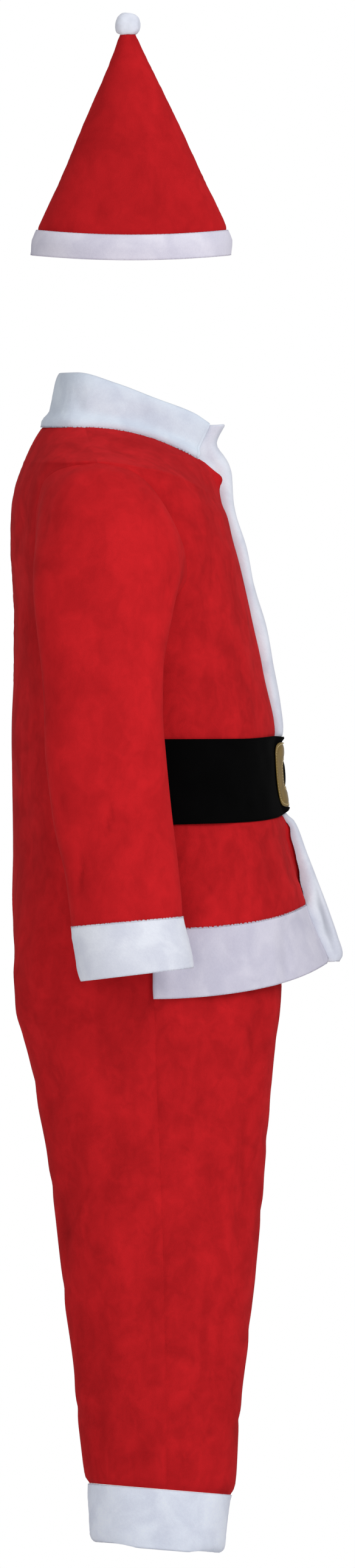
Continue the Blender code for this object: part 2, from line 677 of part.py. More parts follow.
def make_cap(velour, plush):
    angle = np.linspace(0, 2 * math.pi, 24, endpoint=False)
    for name, levels, wall, look, closed in (
            ("cap_cone", np.linspace(CAP_TOP, CAP_SEAM, 9), VELOUR, velour, True),
            ("cap_band", np.linspace(CAP_SEAM - SEAM_GAP, CAP["z"][-1], 4), PLUSH, plush, False)):
        z, turn = np.meshgrid(levels, angle, indexing="ij")
        normals = form_normal(cap_points, z, turn)
        points = cap_points(z, turn)
        inner = points - wall * normals
        if closed:
            inner[0] = points[0] * np.array([TIP_INSIDE, TIP_INSIDE, 1]) + np.array([0, TIP_FORWARD, -wall])
        solid(name, points, inner, look, ring=True, cap=closed)


def make_pompom(look):
    """A stuffed ball, a little squarer than a sphere."""
    bpy.ops.mesh.primitive_uv_sphere_add(segments=18, ring_count=11, radius=1.0)
    ball = bpy.context.object
    ball.name = ball.data.name = "cap_pompom"
    for vertex in ball.data.vertices:
        direction = np.array(vertex.co)
        squarish = direction / (np.abs(direction) ** POMPOM_POWER).sum() ** (1 / POMPOM_POWER)
        vertex.co = np.array(POMPOM_CENTRE) + squarish * np.array(POMPOM_RADII)
    ball.data.shade_smooth()
    ball.data.materials.append(look)


def main():
    for old in list(bpy.data.objects):
        bpy.data.objects.remove(old)
    velour = {name: material(f"{name}_velour", RED, 0.85)
              for name in ("back", "jacket", "trouser", "sleeve", "cap")}
    plush = {name: material(f"{name}_plush", WHITE, 0.95)
             for name in ("collar", "band", "hem", "sleeve_cuff", "trouser_cuff", "cap", "pompom")}
    shoulder = np.array([0.0, -0.0075, -0.0170, -0.0320])
    cinched = np.array([CINCH, -0.400, -0.4425, -0.478, WAIST])
    upper = np.concatenate([shoulder, ARMHOLE["z"], np.linspace(ARMPIT, CINCH, 5)[1:-1], cinched,
                            np.linspace(WAIST, HEM_SEAM, 4)[1:]])
    hem = np.linspace(HEM_SEAM - SEAM_GAP, HEM, 4)
    lower = np.concatenate([np.linspace(HEM_SEAM, THIGH, 6)[1:], np.linspace(THIGH, LEG_END, 11)[1:]])
    waist_down = np.concatenate([np.linspace(WAIST, HEM_SEAM, 4), lower])

    make_backs(np.concatenate([upper, lower]), velour["back"])
    make_jacket_fronts(upper, velour["jacket"])
    make_hem_bands(hem, plush["hem"])
    make_trouser_fronts(waist_down, velour["trouser"])
    make_trouser_cuffs(plush["trouser_cuff"])
    make_sleeves(velour["sleeve"], plush["sleeve_cuff"])
    make_collar(plush["collar"])
    make_front_band(plush["band"])
    make_belt(material("belt_plush", BLACK, 0.95))
    make_buckle(material("gold_vinyl", GOLD, 0.35, 0.2))
    make_cap(velour["cap"], plush["cap"])
    make_pompom(plush["pompom"])


main()
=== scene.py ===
"""Santa suit: the velour, plush trims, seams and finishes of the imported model, and its stage.

Metres, +Z up. The wearer faces -Y, so the wearer's right is -X. The origin is the middle of
the neck at the collar seam.

Every cut piece is a patch of one form: the body is a stack of level sections, each a rounded
oval, and the sleeves and the cap are tubes of such ovals. A patch is worked out on a fine grid,
pressed in along its seams and soft creases, and given a wall by moving the same points in.
"""

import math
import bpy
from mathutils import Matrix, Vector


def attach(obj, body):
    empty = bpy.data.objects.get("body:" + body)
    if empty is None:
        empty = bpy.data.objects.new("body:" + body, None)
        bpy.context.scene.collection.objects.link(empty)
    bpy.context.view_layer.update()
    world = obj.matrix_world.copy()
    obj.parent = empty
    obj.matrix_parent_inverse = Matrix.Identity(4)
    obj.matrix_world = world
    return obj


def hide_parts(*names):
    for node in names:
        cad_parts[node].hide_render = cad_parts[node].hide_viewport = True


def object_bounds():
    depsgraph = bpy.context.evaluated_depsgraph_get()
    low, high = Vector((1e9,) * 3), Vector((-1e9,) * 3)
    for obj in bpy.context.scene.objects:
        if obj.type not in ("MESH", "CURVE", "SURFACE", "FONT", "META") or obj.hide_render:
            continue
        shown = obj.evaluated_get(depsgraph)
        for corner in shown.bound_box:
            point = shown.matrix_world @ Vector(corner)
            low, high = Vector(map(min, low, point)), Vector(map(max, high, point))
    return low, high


bl_info = {
    "name": "Santa Suit",
    "version": (1, 0, 0),
    "blender": (4, 5, 0),
    "location": "View3D > Sidebar > Santa Suit",
    "description": "Makes the cloth, trims and finishes of a santa suit, and a stage for it",
    "category": "Object",
}

import bpy
import numpy as np
from bpy.props import FloatProperty, FloatVectorProperty, PointerProperty
from bpy.types import Operator, Panel, PropertyGroup

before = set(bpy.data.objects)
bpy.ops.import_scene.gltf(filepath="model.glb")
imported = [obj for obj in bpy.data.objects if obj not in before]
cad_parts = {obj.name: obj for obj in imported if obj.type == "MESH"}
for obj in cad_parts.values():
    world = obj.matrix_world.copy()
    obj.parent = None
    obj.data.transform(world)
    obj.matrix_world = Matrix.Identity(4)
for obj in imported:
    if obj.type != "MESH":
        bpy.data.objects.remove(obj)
CAD_BOX = [[float(v) for v in corner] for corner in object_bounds()]

# Places on the suit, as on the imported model
SEAM_GAP = 0.0003
SEAM_LAP = 0.0015
SHOULDER = -0.0456
ARMPIT = -0.2445
WAIST = -0.497
SKIRT_TOP = -0.530
HEM_SEAM = -0.630
HEM = -0.7155
LEG_END = -1.328
CUFF_END = -1.404
LEG_TUCK = 0.0034
SLEEVE_LAP = 0.007
CUFF_CURL = 0.0120
FRONT_EDGE = 0.028
BAND_HALF = 0.0315
BAND_POWER = 0.55
COLLAR_SEAM_END = math.radians(146)
COLLAR_END = math.radians(152)
COLLAR_WIDTH = 0.86
COLLAR_DEPTH = 0.93
COLLAR_TURNING = 0.0009
CUFF_RING = 6.0
BELT_DEPTH = 0.0955
BELT_CLEAR = 0.0013
BELT_RISE = 0.0055
BELT_LIP = 0.0030
BELT_RAMP = 0.059
BELT_PUFF = 0.0030
BELT_WALL = 0.0030
BUCKLE_HALF_WIDTH = 0.062
BUCKLE_HALF_HEIGHT = 0.041
BUCKLE_MIDDLE = -0.4345
BUCKLE_CLEAR = 0.0008
BUCKLE_POWER = 0.4
STITCHES_IN = 0.0030
HOLE_HALF_WIDTH = 0.036
HOLE_HALF_HEIGHT = 0.017
CAP_TOP = 0.4888
CAP_SEAM = 0.2455
CAP_SAG = 0.0060
POMPOM_CENTRE = (0.0, -0.0076, 0.5012)
POMPOM_RADII = (0.0155, 0.0160, 0.0150)
POMPOM_NORM = 2.7

# Spacing of the grids' points
VELOUR_STEP = 0.0065
PLUSH_STEP = 0.005

# Columns of the tables that aren't lengths
PLAIN = {"power", "tilt", "keep", "ring", "forward", "up", "round", "roll"}


def table(names, rows):
    """Columns of a table by name, from its text: a row on each line, with lengths in millimetres.

    The columns hold metres. The first one is the station, in falling order.
    """
    values = np.array([row.split() for row in rows.strip().splitlines()], float).T
    return {name: column / (1 if name in PLAIN else 1000)
            for name, column in zip(names.split(), values)}


# half: side seam's distance from the middle. back, seam: y of the centre back and the side
# seam. power: 1 is an ellipse, less is squarer. leg, inseam: distance of the leg's axis and
# of its inner edge from the middle. tilt: how fast a section falls towards the front.
BODY = table("z half back seam power leg inseam tilt", """
    0 85 98.5 45 1 0 -85 0
    -15 125 108 42 1 0 -125 0
    -28.5 165 115 37 1 0 -165 0
    -40 200 120 32 1 0 -200 0
    -45.6 215 122.5 30 1 0 -215 0
    -76 224 133 24 0.95 0 -224 0
    -106 228 138.3 18 0.92 0 -228 0
    -152 230 139.2 12 0.9 0 -230 0
    -198 229 136.8 6 0.9 0 -229 0
    -244.5 227 135 0 0.9 0 -227 0
    -320 223 135.3 -12 0.88 0 -223 0
    -390 220.5 136.8 -21 0.86 0 -221 0
    -460 220 136 -28 0.86 0 -220 0
    -520 221 135.5 -33 0.86 4 -180 0
    -560 222 135.3 -35 0.87 20 -110 0
    -608 223 135.3 -37 0.88 52 -48 0
    -650 223 136.2 -38 0.89 83 -18 0
    -680 222 136.2 -39 0.9 101 -6 0
    -700 221 135 -39 0.9 109 0.4 0
    -730 219 133 -41 0.9 110.5 2 0
    -760 217 126.2 -42 0.9 110.5 3.2 0
    -821 213 112.2 -44 0.91 109.5 6 0
    -912 208 93.5 -48 0.92 108.5 9.5 0
    -1003 203 83 -51 0.93 108 13.5 0.01
    -1125 196 68.3 -54 0.94 108 20 0.03
    -1246 189 53 -56 0.95 108 27 0.06
    -1328 184 45 -56 0.95 108 32 0.08
    -1404 182 40 -56 0.95 108 34 0.08
""")

# front: y of the centre front. drop: how far a section falls from the side seam to there.
# flare: how far it stands out from the body at the side seam.
JACKET = table("z front drop flare", """
    0 -124.5 57 0
    -15 -124.4 55 0
    -28.5 -124 53 0
    -45.6 -126 50 0
    -70 -133.8 44 0
    -100 -139.8 37 0
    -140 -148.2 28 0
    -190 -156.6 16 0
    -244.5 -166.4 6 0
    -300 -176.7 0 0
    -385 -191.8 0 0
    -395 -190.2 0 0
    -420 -191 0 0
    -443 -192.6 0 0
    -478 -198.5 0 1.2
    -497 -206.8 -1 3.6
    -514 -207.8 -2.2 3.8
    -530 -211.8 -4 4
    -560 -217.8 -9 4.2
    -580 -221.4 -12.5 4.3
    -600 -228 -16 4.4
    -640 -233.5 -21 4.6
    -680 -245.5 -28 5
    -715.5 -259 -34 5.5
""")

TROUSERS = table("z front", """
    -497 -198.5
    -560 -200
    -650 -200.5
    -714 -199
    -760 -194.5
    -821 -188.2
    -912 -180.2
    -1003 -172.5
    -1125 -158.3
    -1246 -146
    -1328 -140.5
    -1340 -136.8
    -1404 -130
""")

# y of the armhole seam on the back and on the front, from the shoulder to the armpit
ARMHOLE = table("z back front", """
    -45.6 30 30
    -50 64 -4
    -57 83.5 -22.5
    -70 98 -38.5
    -92 104 -53.5
    -120 107.5 -69
    -150 108 -80
    -180 105 -82
    -207 94 -72
    -228 70 -51
    -240 37 -26
    -244.5 0 0
""")

# Rings of the sleeve from the armhole to the end of the cuff. Each is an oval through an
# outer point, an inner point, a back and a front; keep: how much of the armhole's own shape
# the ring still has; tilt: how fast it rises towards the front.
SLEEVE = table("ring outer outer_z inner inner_z back front keep tilt", """
    0 215.5 -45.6 231.5 -244.5 98 -69 1 0
    -0.5 236 -54 233.5 -249 104 -73 0.62 0
    -1 259 -72 234.5 -254 108 -76.5 0.34 0
    -1.5 281 -100 235.5 -260 109 -76.5 0.16 0
    -2 299 -137 236.5 -268 108 -73 0.06 0
    -2.5 312 -180 237.5 -279 106 -67 0 0
    -3 321 -230 238.5 -296 103 -59 0 0
    -3.5 327 -285 239.5 -325 99 -52.5 0 0.01
    -4 331 -345 240.5 -370 95.5 -51 0 0.02
    -4.5 334.5 -412 241 -426 93 -55 0 0.03
    -5 336 -480 241.5 -486 86 -60.5 0 0.05
    -5.5 337 -550 241.5 -552 72 -69 0 0.07
    -6 337 -621 241.5 -621 62 -76.5 0 0.09
    -6.5 339.5 -654 240.5 -654 56 -83.5 0 0.11
    -7 340 -686.5 240 -686.5 50 -90 0 0.12
""")

# Ridge of the centre-front band, and y of its edges where it stands free above the fronts
FRONT_BAND = table("z ridge edge", """
    1.5 -130.7 -108
    -22 -119.5 -97.5
    -40 -131 -96
    -47.5 -135.2 -105
    -60.8 -139 -123.5
    -91.2 -140.6 -123.5
    -106.4 -142.9 -126
    -152 -157.3 -140
    -212.8 -171 -156
    -258.4 -183.9 -166
    -319.2 -195.3 -176
    -350 -199.9 -186
    -379 -202.8 -188
    -386 -202.2 -188
    -390 -195.8 -188
    -420 -196.6 -189
    -443 -198.2 -190
    -463 -201.5 -193
    -478 -204.1 -196
    -484 -206.8 -198
    -490 -215 -200
    -501.6 -221.8 -206
    -532 -232.6 -215
    -562 -243.2 -223
    -608 -260.7 -229
    -638.4 -271.3 -235
    -660 -277.4 -245
    -669 -273 -248
""")

# Belt edges, from the side seam (0) to the centre front (1)
BELT = table("forward top bottom", """
    0 -391 -498.5
    -0.5 -390 -495
    -0.9 -386.5 -486
    -1 -386.5 -482
""")

# How far the collar stands out from a straight line between its seam (0) and its top (1)
COLLAR = table("up out", """
    0 3
    -0.1 3.4
    -0.3 -2.6
    -0.6 -1
    -0.9 0.8
    -1 0
""")

# Top edge of the collar, from the back to its front ends
COLLAR_TOP = table("y z", """
    77.5 67
    57 67.6
    7.6 54.5
    -41.8 35.7
    -91.2 16.7
    -108 6
""")

# round: side-to-side width over front-to-back width
CAP = table("z back front round", """
    488.8 3 -18 1
    456 14.4 -33.4 0.95
    383 45.6 -69.2 0.82
    310 76 -102.6 0.72
    244 106.2 -132.6 0.66
    229 111.7 -136 0.66
    213 113 -136 0.66
""")

# Soft creases on the solids too: a line from (y, z) to (y, z) with its depth and half-width
FOLD = "y0 z0 y1 z1 depth width"
BACK_FOLDS = table(FOLD, """
    125 -195 92 -300 5 20
    112 -760 76 -860 6 22
    66 -900 47 -1060 5 20
    50 -1110 30 -1250 3.5 18
""")
TROUSER_FOLDS = table(FOLD, """
    -170 -730 -152 -860 4.5 18
    -150 -900 -152 -1040 4 18
    -120 -1120 -100 -1260 3 18
""")
JACKET_FOLDS = table(FOLD, """
    -120 -150 -75 -270 3.5 20
    -185 -520 -165 -600 2.5 22
    -120 -520 -135 -620 3.5 20
""")
SLEEVE_FOLDS = table(FOLD, """
    90 -100 102 -170 5 18
    -70 -175 -52 -235 6 18
    50 -500 46 -570 4 18
    8 -480 20 -525 3 16
""")

# Smaller creases of each cut piece, each unlike its neighbours. bow: how far the line curves
# sideways half-way along. roll: height of the roll beside the valley, as a part of its depth,
# on the line's left (positive) or right (negative).
SIDE_CREASE = f"{FOLD} bow roll"
CENTRE_CREASE = "x0 z0 x1 z1 depth width bow roll"
BACK_CREASES = table(SIDE_CREASE, """
    132 -200 98 -276 1.6 7 4 0.7
    118 -300 94 -372 1.1 8.5 -3 -0.5
    60 -20 98 -62 0.9 9 3 0.5
    118 -470 96 -585 1.2 11 5 0.6
    130 -640 112 -712 1.4 9 2 -0.6
    100 -700 30 -742 1 12 8 0.4
    94 -800 82 -905 1.5 7.5 3 0.7
    40 -830 16 -960 0.9 12 -6 0.5
    78 -925 64 -1080 2.6 10 -2 -0.5
    4 -945 -16 -1080 0.8 10 5 0.5
    46 -1130 30 -1182 1.1 7.5 3 0.6
    10 -1170 -10 -1290 1 9 -4 -0.5
    34 -1235 26 -1306 1.4 6.5 2 0.6
""")
BACK_CENTRE_CREASES = table(CENTRE_CREASE, """
    150 -110 70 -150 1.3 13 6 0.5
    30 -240 130 -300 1.4 14 -8 0.5
    160 -380 80 -410 1.6 12 5 -0.6
    20 -420 110 -452 1.7 11 6 0.6
    140 -480 60 -500 1.3 10 -4 0.5
    40 -640 150 -690 1.6 14 8 0.5
    30 -722 100 -775 1.9 12 6 -0.6
    150 -800 60 -860 1.3 12 -5 0.6
    60 -930 150 -975 1.2 11 4 0.6
    140 -1060 70 -1110 1.3 12 -6 0.5
    70 -1210 150 -1250 1.5 10 4 0.5
""")
JACKET_CREASES = table(SIDE_CREASE, """
    -71 -172 -58 -226 2.6 5.2 3 0.6
    -91 -273 -118 -286 0.9 5 1 0.5
    -140 -196 -112 -262 1 11 5 0.5
    -82 -60 -48 -132 1 10 -4 -0.5
    -118 -52 -96 -120 0.9 9 4 0.6
    -136 -300 -82 -352 0.9 11 -6 0.5
    -176 -340 -150 -380 0.8 8 2 0.5
    -198 -506 -186 -578 0.8 8 3 0.5
    -150 -508 -158 -600 1 10 -4 0.5
    -98 -512 -104 -596 0.9 12 4 -0.5
    -62 -510 -70 -560 1 8 2 0.6
""")
JACKET_CENTRE_CREASES = table(CENTRE_CREASE, """
    150 -100 60 -150 1.2 12 6 0.5
    50 -220 120 -330 1.2 14 -8 0.5
    150 -250 110 -370 1.1 11 6 -0.5
    70 -510 84 -600 0.9 14 4 0.6
    150 -512 160 -590 1.3 10 -4 0.6
""")
TROUSER_CREASES = table(SIDE_CREASE, """
    -178 -716 -158 -835 1.8 6 3 0.7
    -158 -840 -155 -1030 2 7.5 -3 0.6
    -120 -740 -98 -850 0.9 11 5 0.5
    -92 -880 -112 -1000 0.9 12 4 -0.5
    -128 -1020 -108 -1130 1.1 9 -4 0.6
    -80 -1060 -96 -1200 0.9 10 4 0.5
    -126 -1185 -112 -1282 1.2 7.5 3 0.6
    -72 -1220 -66 -1306 0.9 8 -2 0.5
""")
TROUSER_CENTRE_CREASES = table(CENTRE_CREASE, """
    30 -735 110 -775 1.8 12 6 0.5
    40 -760 120 -850 1.4 11 -6 -0.6
    150 -860 80 -905 1.2 12 5 0.5
    70 -960 140 -1010 1.3 11 5 0.6
    150 -1100 80 -1150 1.2 11 -5 0.5
    80 -1230 150 -1265 1.6 9 4 0.6
""")
SLEEVE_CREASES = table(SIDE_CREASE, """
    92 -84 110 -160 1.7 5.8 -4 0.8
    106 -92 119 -130 1.1 5 -2 0.6
    -74 -166 -56 -232 1.8 5 3 -0.5
    26 -62 -22 -75 0.8 9 4 0.5
    84 -290 78 -392 1 9 4 0.5
    -40 -262 -48 -378 1 10 -5 0.5
    18 -230 28 -350 0.6 13 6 0.5
    80 -440 62 -520 1.3 7.5 3 0.6
    46 -524 49 -596 2.6 5.5 2 0.7
    12 -460 23 -528 2.4 5.5 -2 0.7
    -44 -470 -50 -590 0.9 9 4 0.5
    -12 -540 -10 -612 0.9 7 3 0.6
""")
HEM_CREASES = table(SIDE_CREASE, """
    -206 -618 -210 -722 2.2 7 2 0.6
    -176 -640 -168 -730 1 9 -2 0.5
    -128 -618 -122 -690 0.9 9 2 -0.5
    -78 -640 -84 -716 0.7 10 2 0.5
""")
BAND_CREASES = table(SIDE_CREASE, """
    -240 -565 -272 -668 4 5.8 1 0.5
    -168 -215 -178 -275 0.6 4 1 0.5
    -190 -300 -197 -360 0.6 4 -1 0.5
""")
COLLAR_CREASES = table(SIDE_CREASE, """
    66 50 40 14 2 11 4 0.5
    -10 10 -46 26 1.4 8 3 0.6
    20 48 -16 20 1 12 -4 0.4
""")
CAP_CREASES = table(SIDE_CREASE, """
    -24 436 -46 356 1.4 7 3 0.7
    -4 396 -20 320 0.9 9 -4 0.5
    -38 320 -54 254 1.2 7 3 0.6
    -78 276 -108 250 1.3 6 2 0.7
    30 372 50 300 1 9 4 -0.5
    60 300 48 256 0.8 10 3 0.5
""")


def read(rows, column, station):
    """Value of a column at a station, on a smooth curve through the rows that never overshoots.

    Between two rows it is the cubic with their values and slopes; a row's slope is the harmonic
    mean of the rises on its two sides, or nought where they differ in sign.
    """
    key = next(iter(rows))
    x, y = rows[key][::-1], rows[column][::-1]
    step, rise = np.diff(x), np.diff(y) / np.diff(x)
    slope = np.zeros_like(y)
    same_way = rise[1:] * rise[:-1] > 0
    harmonic = 2 * rise[1:] * rise[:-1] / np.where(same_way, rise[1:] + rise[:-1], 1.0)
    slope[1:-1] = np.where(same_way, harmonic, 0.0)
    slope[0], slope[-1] = rise[0], rise[-1]
    at = np.clip(np.asarray(station, float), x[0], x[-1])
    i = np.clip(np.searchsorted(x, at) - 1, 0, len(step) - 1)
    t = (at - x[i]) / step[i]
    return (y[i] * (1 + 2 * t) * (1 - t) ** 2 + y[i + 1] * t * t * (3 - 2 * t)
            + slope[i] * step[i] * t * (1 - t) ** 2 + slope[i + 1] * step[i] * t * t * (t - 1))


def read_all(rows, names, station):
    """Values of several columns at a station."""
    return [read(rows, name, station) for name in names.split()]


def signed_power(value, power):
    """The value's size raised to a power, with its own sign kept."""
    return np.sign(value) * np.abs(value) ** power


def ease(t):
    """A smooth rise from 0 to 1 as t goes from 0 to 1: three t squared less two t cubed."""
    t = np.clip(t, 0, 1)
    return t * t * (3 - 2 * t)


def bell(distance, width):
    """1 at a distance of 0, falling off on both sides: e to minus the square of their ratio."""
    return np.exp(-(distance / width) ** 2)


def xyz(x, y, z):
    """Points or vectors of three coordinates."""
    return np.stack(np.broadcast_arrays(x, y, z), axis=-1)


def unit(vectors):
    """The vectors, each as long as 1."""
    return vectors / np.maximum(np.linalg.norm(vectors, axis=-1, keepdims=True), 1e-12)


def jacket_power(z):
    """The power of the jacket's sections: the body's own, a little less below the waist."""
    return read(BODY, "power", z) - 0.05 * np.clip((WAIST - z) / 0.06, 0, 1)


def body(z, angle, jacket=False):
    """Point of the right half of the body at a level and an angle.

    A section is an oval whose side seam, back and front come from the tables: x is the half
    width times the sine of the angle to a power, and y goes from the side seam towards the back
    or the front by its cosine to the same power. The angle is 0 at the back, 90 degrees at the
    side seam and 180 at the front; a leg goes on round to its inseam, at -90 or 270 degrees.
    """
    z, angle = np.broadcast_arrays(np.asarray(z, float), np.asarray(angle, float))
    half, back, seam, power, tilt = read_all(BODY, "half back seam power tilt", z)
    if jacket:
        front, drop, flare = read_all(JACKET, "front drop flare", z)
        half, power = half + flare, jacket_power(z)
        leg, inner = np.zeros_like(z), half
    else:
        front, drop = read(TROUSERS, "front", z), np.zeros_like(z)
        leg = read(BODY, "leg", z)
        inner = leg - read(BODY, "inseam", z)
    s, c = signed_power(np.sin(angle), power), signed_power(np.cos(angle), power)
    x = leg + np.where(s > 0, half - leg, inner) * s
    y = seam + np.where(c > 0, back - seam, seam - front) * c
    forward = np.clip((seam - y) / (seam - front), 0, None)
    return xyz(-x, y, z - drop * forward ** 2 + tilt * (y - seam))


def jacket(z, angle):
    """Point of the right half of the jacket form, as it is before it is worn."""
    return body(z, angle, jacket=True)


def band_lift(z):
    """How far the band stands off the fronts beside it: most just below the belt."""
    return 0.0074 * ease((-0.488 - z) / 0.014) * ease((z + 0.594) / 0.062)


def worn_jacket(z, angle):
    """The jacket form as it is worn.

    Under the band its edges turn forward by the band's lift, eased over the last of the distance
    across, and a tuck beside it above the hem goes in by a bell of height and distance. Its neck
    corners flare forward and down by a bell of that distance times a bell of the level. Its hem
    rises to the front by the seventh power of the way forward, eased in down the skirt.
    """
    points = jacket(z, angle)
    across = np.abs(points[..., 0])
    beyond = np.maximum(across - 0.0335, 0)
    corner = 0.0118 * np.exp(-(beyond / 0.0065) ** 2 - (np.asarray(z) / 0.018) ** 2)
    seam, front = read(BODY, "seam", z), read(JACKET, "front", z)
    forward = np.clip((seam - points[..., 1]) / (seam - front), 0, 1)
    rise = 0.012 * forward ** 7 * ease((SKIRT_TOP - z) / 0.085)
    height = points[..., 2] + rise
    turned = ease((0.0330 - across) / 0.0040) + 0.6 * ease((0.0300 - across) / 0.0020)
    tuck = (0.0048 * np.exp(-((height + 0.574) / 0.011) ** 2 - ((across - 0.0325) / 0.014) ** 2)
            * (1 - 0.5 * ease((0.0300 - across) / 0.0020)))
    forth = tuck - corner - band_lift(height) * turned
    return points + xyz(0.0, forth, rise - corner)


def on_form(form, z, angle):
    """Points of a form, and its outward unit normals: across its slopes down and along."""
    small = 1e-4
    along = form(z, angle + small) - form(z, angle - small)
    down = form(z - small, angle) - form(z + small, angle)
    return form(z, angle), unit(np.cross(down, along))


def grid_normal(points, ring=False):
    """Outward unit normals of a grid whose rows run down and whose columns run round."""
    if ring:
        along = np.roll(points, -1, axis=1) - np.roll(points, 1, axis=1)
    else:
        along = np.gradient(points, axis=1)
    return unit(np.cross(along, np.gradient(points, axis=0)))


def arc(points, axis):
    """Distance over the cloth along each row (axis 1) or column (axis 0), from its first point."""
    step = np.linalg.norm(np.diff(points, axis=axis), axis=-1)
    start = np.zeros_like(np.take(step, [0], axis=axis))
    return np.concatenate([start, np.cumsum(step, axis=axis)], axis=axis)


def line_arc(line):
    """Distance along a line of points, from its first point."""
    return arc(line[:, None], 0)[:, 0]


def sample(line, run, at):
    """Values of a line of three columns at distances along it."""
    return np.stack([np.interp(at, run, line[:, k]) for k in range(3)], axis=-1)


def turns(count):
    """Angles of a full turn, evenly spaced."""
    return np.linspace(0, 2 * math.pi, count, endpoint=False)


def grid(down, along):
    """Two grids, of the values down its rows and of those along its columns."""
    return np.meshgrid(down, along, indexing="ij")


def mirrored(points):
    """The left piece's points: the right ones mirrored, with the columns running back again."""
    return points[:, ::-1] * np.array([-1.0, 1.0, 1.0])


def from_edge(points, edges):
    """Distance over the cloth from the nearest of the named edges: left, right, top, bottom."""
    across, down = arc(points, 1), arc(points, 0)
    away = {"left": across, "right": across[:, -1:] - across, "top": down, "bottom": down[-1:] - down}
    return np.min([away[edge] for edge in edges.split()], axis=0)


def from_column(points, column):
    """Distance over the cloth of a closed ring, the shorter way round, from one of its columns."""
    across = arc(np.concatenate([points, points[:, :1]], axis=1), 1)
    gap = np.abs(across[:, :-1] - across[:, [column]])
    return np.minimum(gap, across[:, -1:] - gap)


def ripple(places, size, seed, count=14):
    """A smooth random surface between about -1 and 1 with features of a given size.

    It is the sum of plane sine waves in seeded directions, with lengths round the size, over
    the root of their number.
    """
    draw = np.random.default_rng(seed)
    way = unit(draw.normal(size=(count, places.shape[-1])))
    pitch = 2 * math.pi / (size * draw.uniform(0.7, 1.6, count))
    phase = draw.uniform(0, 2 * math.pi, count)
    return np.sin((places @ way.T) * pitch + phase).sum(axis=-1) / math.sqrt(count)


def fold_depth(points, folds):
    """How far the broad folds press in: a bell across each line, most of half a sine along it."""
    side, depth_in = points[..., 1:], np.zeros(points.shape[:-1])
    for y0, z0, y1, z1, depth, width in zip(*folds.values()):
        start, run = np.array([y0, z0]), np.array([y1 - y0, z1 - z0])
        t = np.clip(((side - start) @ run) / (run @ run), 0, 1)
        away = np.linalg.norm(side - start - t[..., None] * run, axis=-1)
        depth_in += depth * bell(away, width) * np.sin(math.pi * (0.15 + 0.7 * t))
    return depth_in


def crease_depth(points, creases, plane, seed):
    """How far the small creases press each point in, seen along x (plane y) or y (plane x).

    Across its line a crease is a bell-shaped valley less a wider roll on one side; along it, it
    grows and fades like half a sine to the power 0.8. The line bows by a parabola and wavers.
    """
    flat, depth_in = points[..., [1, 2] if plane == "y" else [0, 2]], np.zeros(points.shape[:-1])
    waver = 0.0015 * ripple(points, 0.03, seed)
    draw = np.random.default_rng(seed)
    for a0, z0, a1, z1, depth, width, bow, roll in zip(*creases.values()):
        start, run = np.array([a0, z0]), np.array([a1 - a0, z1 - z0])
        start = start + draw.normal(0, 0.004, 2) * (seed % 2)
        length = np.linalg.norm(run)
        t = ((flat - start) @ run) / length ** 2
        left = (flat - start) @ np.array([-run[1], run[0]]) / length
        away = (left - 4 * bow * t * (1 - t) + waver) / width
        beside = abs(roll) * bell(away - math.copysign(1.9, roll), 1.3)
        along = np.sin(math.pi * np.clip(t, 0, 1)) ** 0.8
        depth_in += depth * along * (bell(away, 1) - beside)
    return depth_in


def fractions(width, step, fine=(0.0012, 0.0026, 0.0045, 0.0075)):
    """Places from 0 to 1 along a width, evenly spaced, and closer together near both ends."""
    near = np.array((0.0, *fine)) / width
    middle = np.linspace(near[-1], 1 - near[-1], max(2, round((width - 2 * fine[-1]) / step)) + 1)
    return np.concatenate([near[:-1], middle, 1 - near[:-1][::-1]])


def spread(start, end, places):
    """A grid of values, one row for each start and end, at the places from 0 to 1 between them."""
    start, end = np.asarray(start, float)[:, None], np.asarray(end, float)[:, None]
    return start + (end - start) * places


def levels_between(*stops, step=VELOUR_STEP):
    """Levels down through the stops, evenly spaced and closer together near each stop."""
    parts = [top + (bottom - top) * fractions(top - bottom, step)
             for top, bottom in zip(stops, stops[1:])]
    return -np.unique(-np.concatenate(parts).round(6))


def quads(ids):
    """Corner numbers of the quads of a grid of vertex numbers, down first and then along."""
    return np.stack([ids[:-1, :-1], ids[1:, :-1], ids[1:, 1:], ids[:-1, 1:]], axis=-1).reshape(-1, 4)


def strip(first, second):
    """Corner numbers of the quads between two lines of vertex numbers."""
    return quads(np.stack([first, second]))


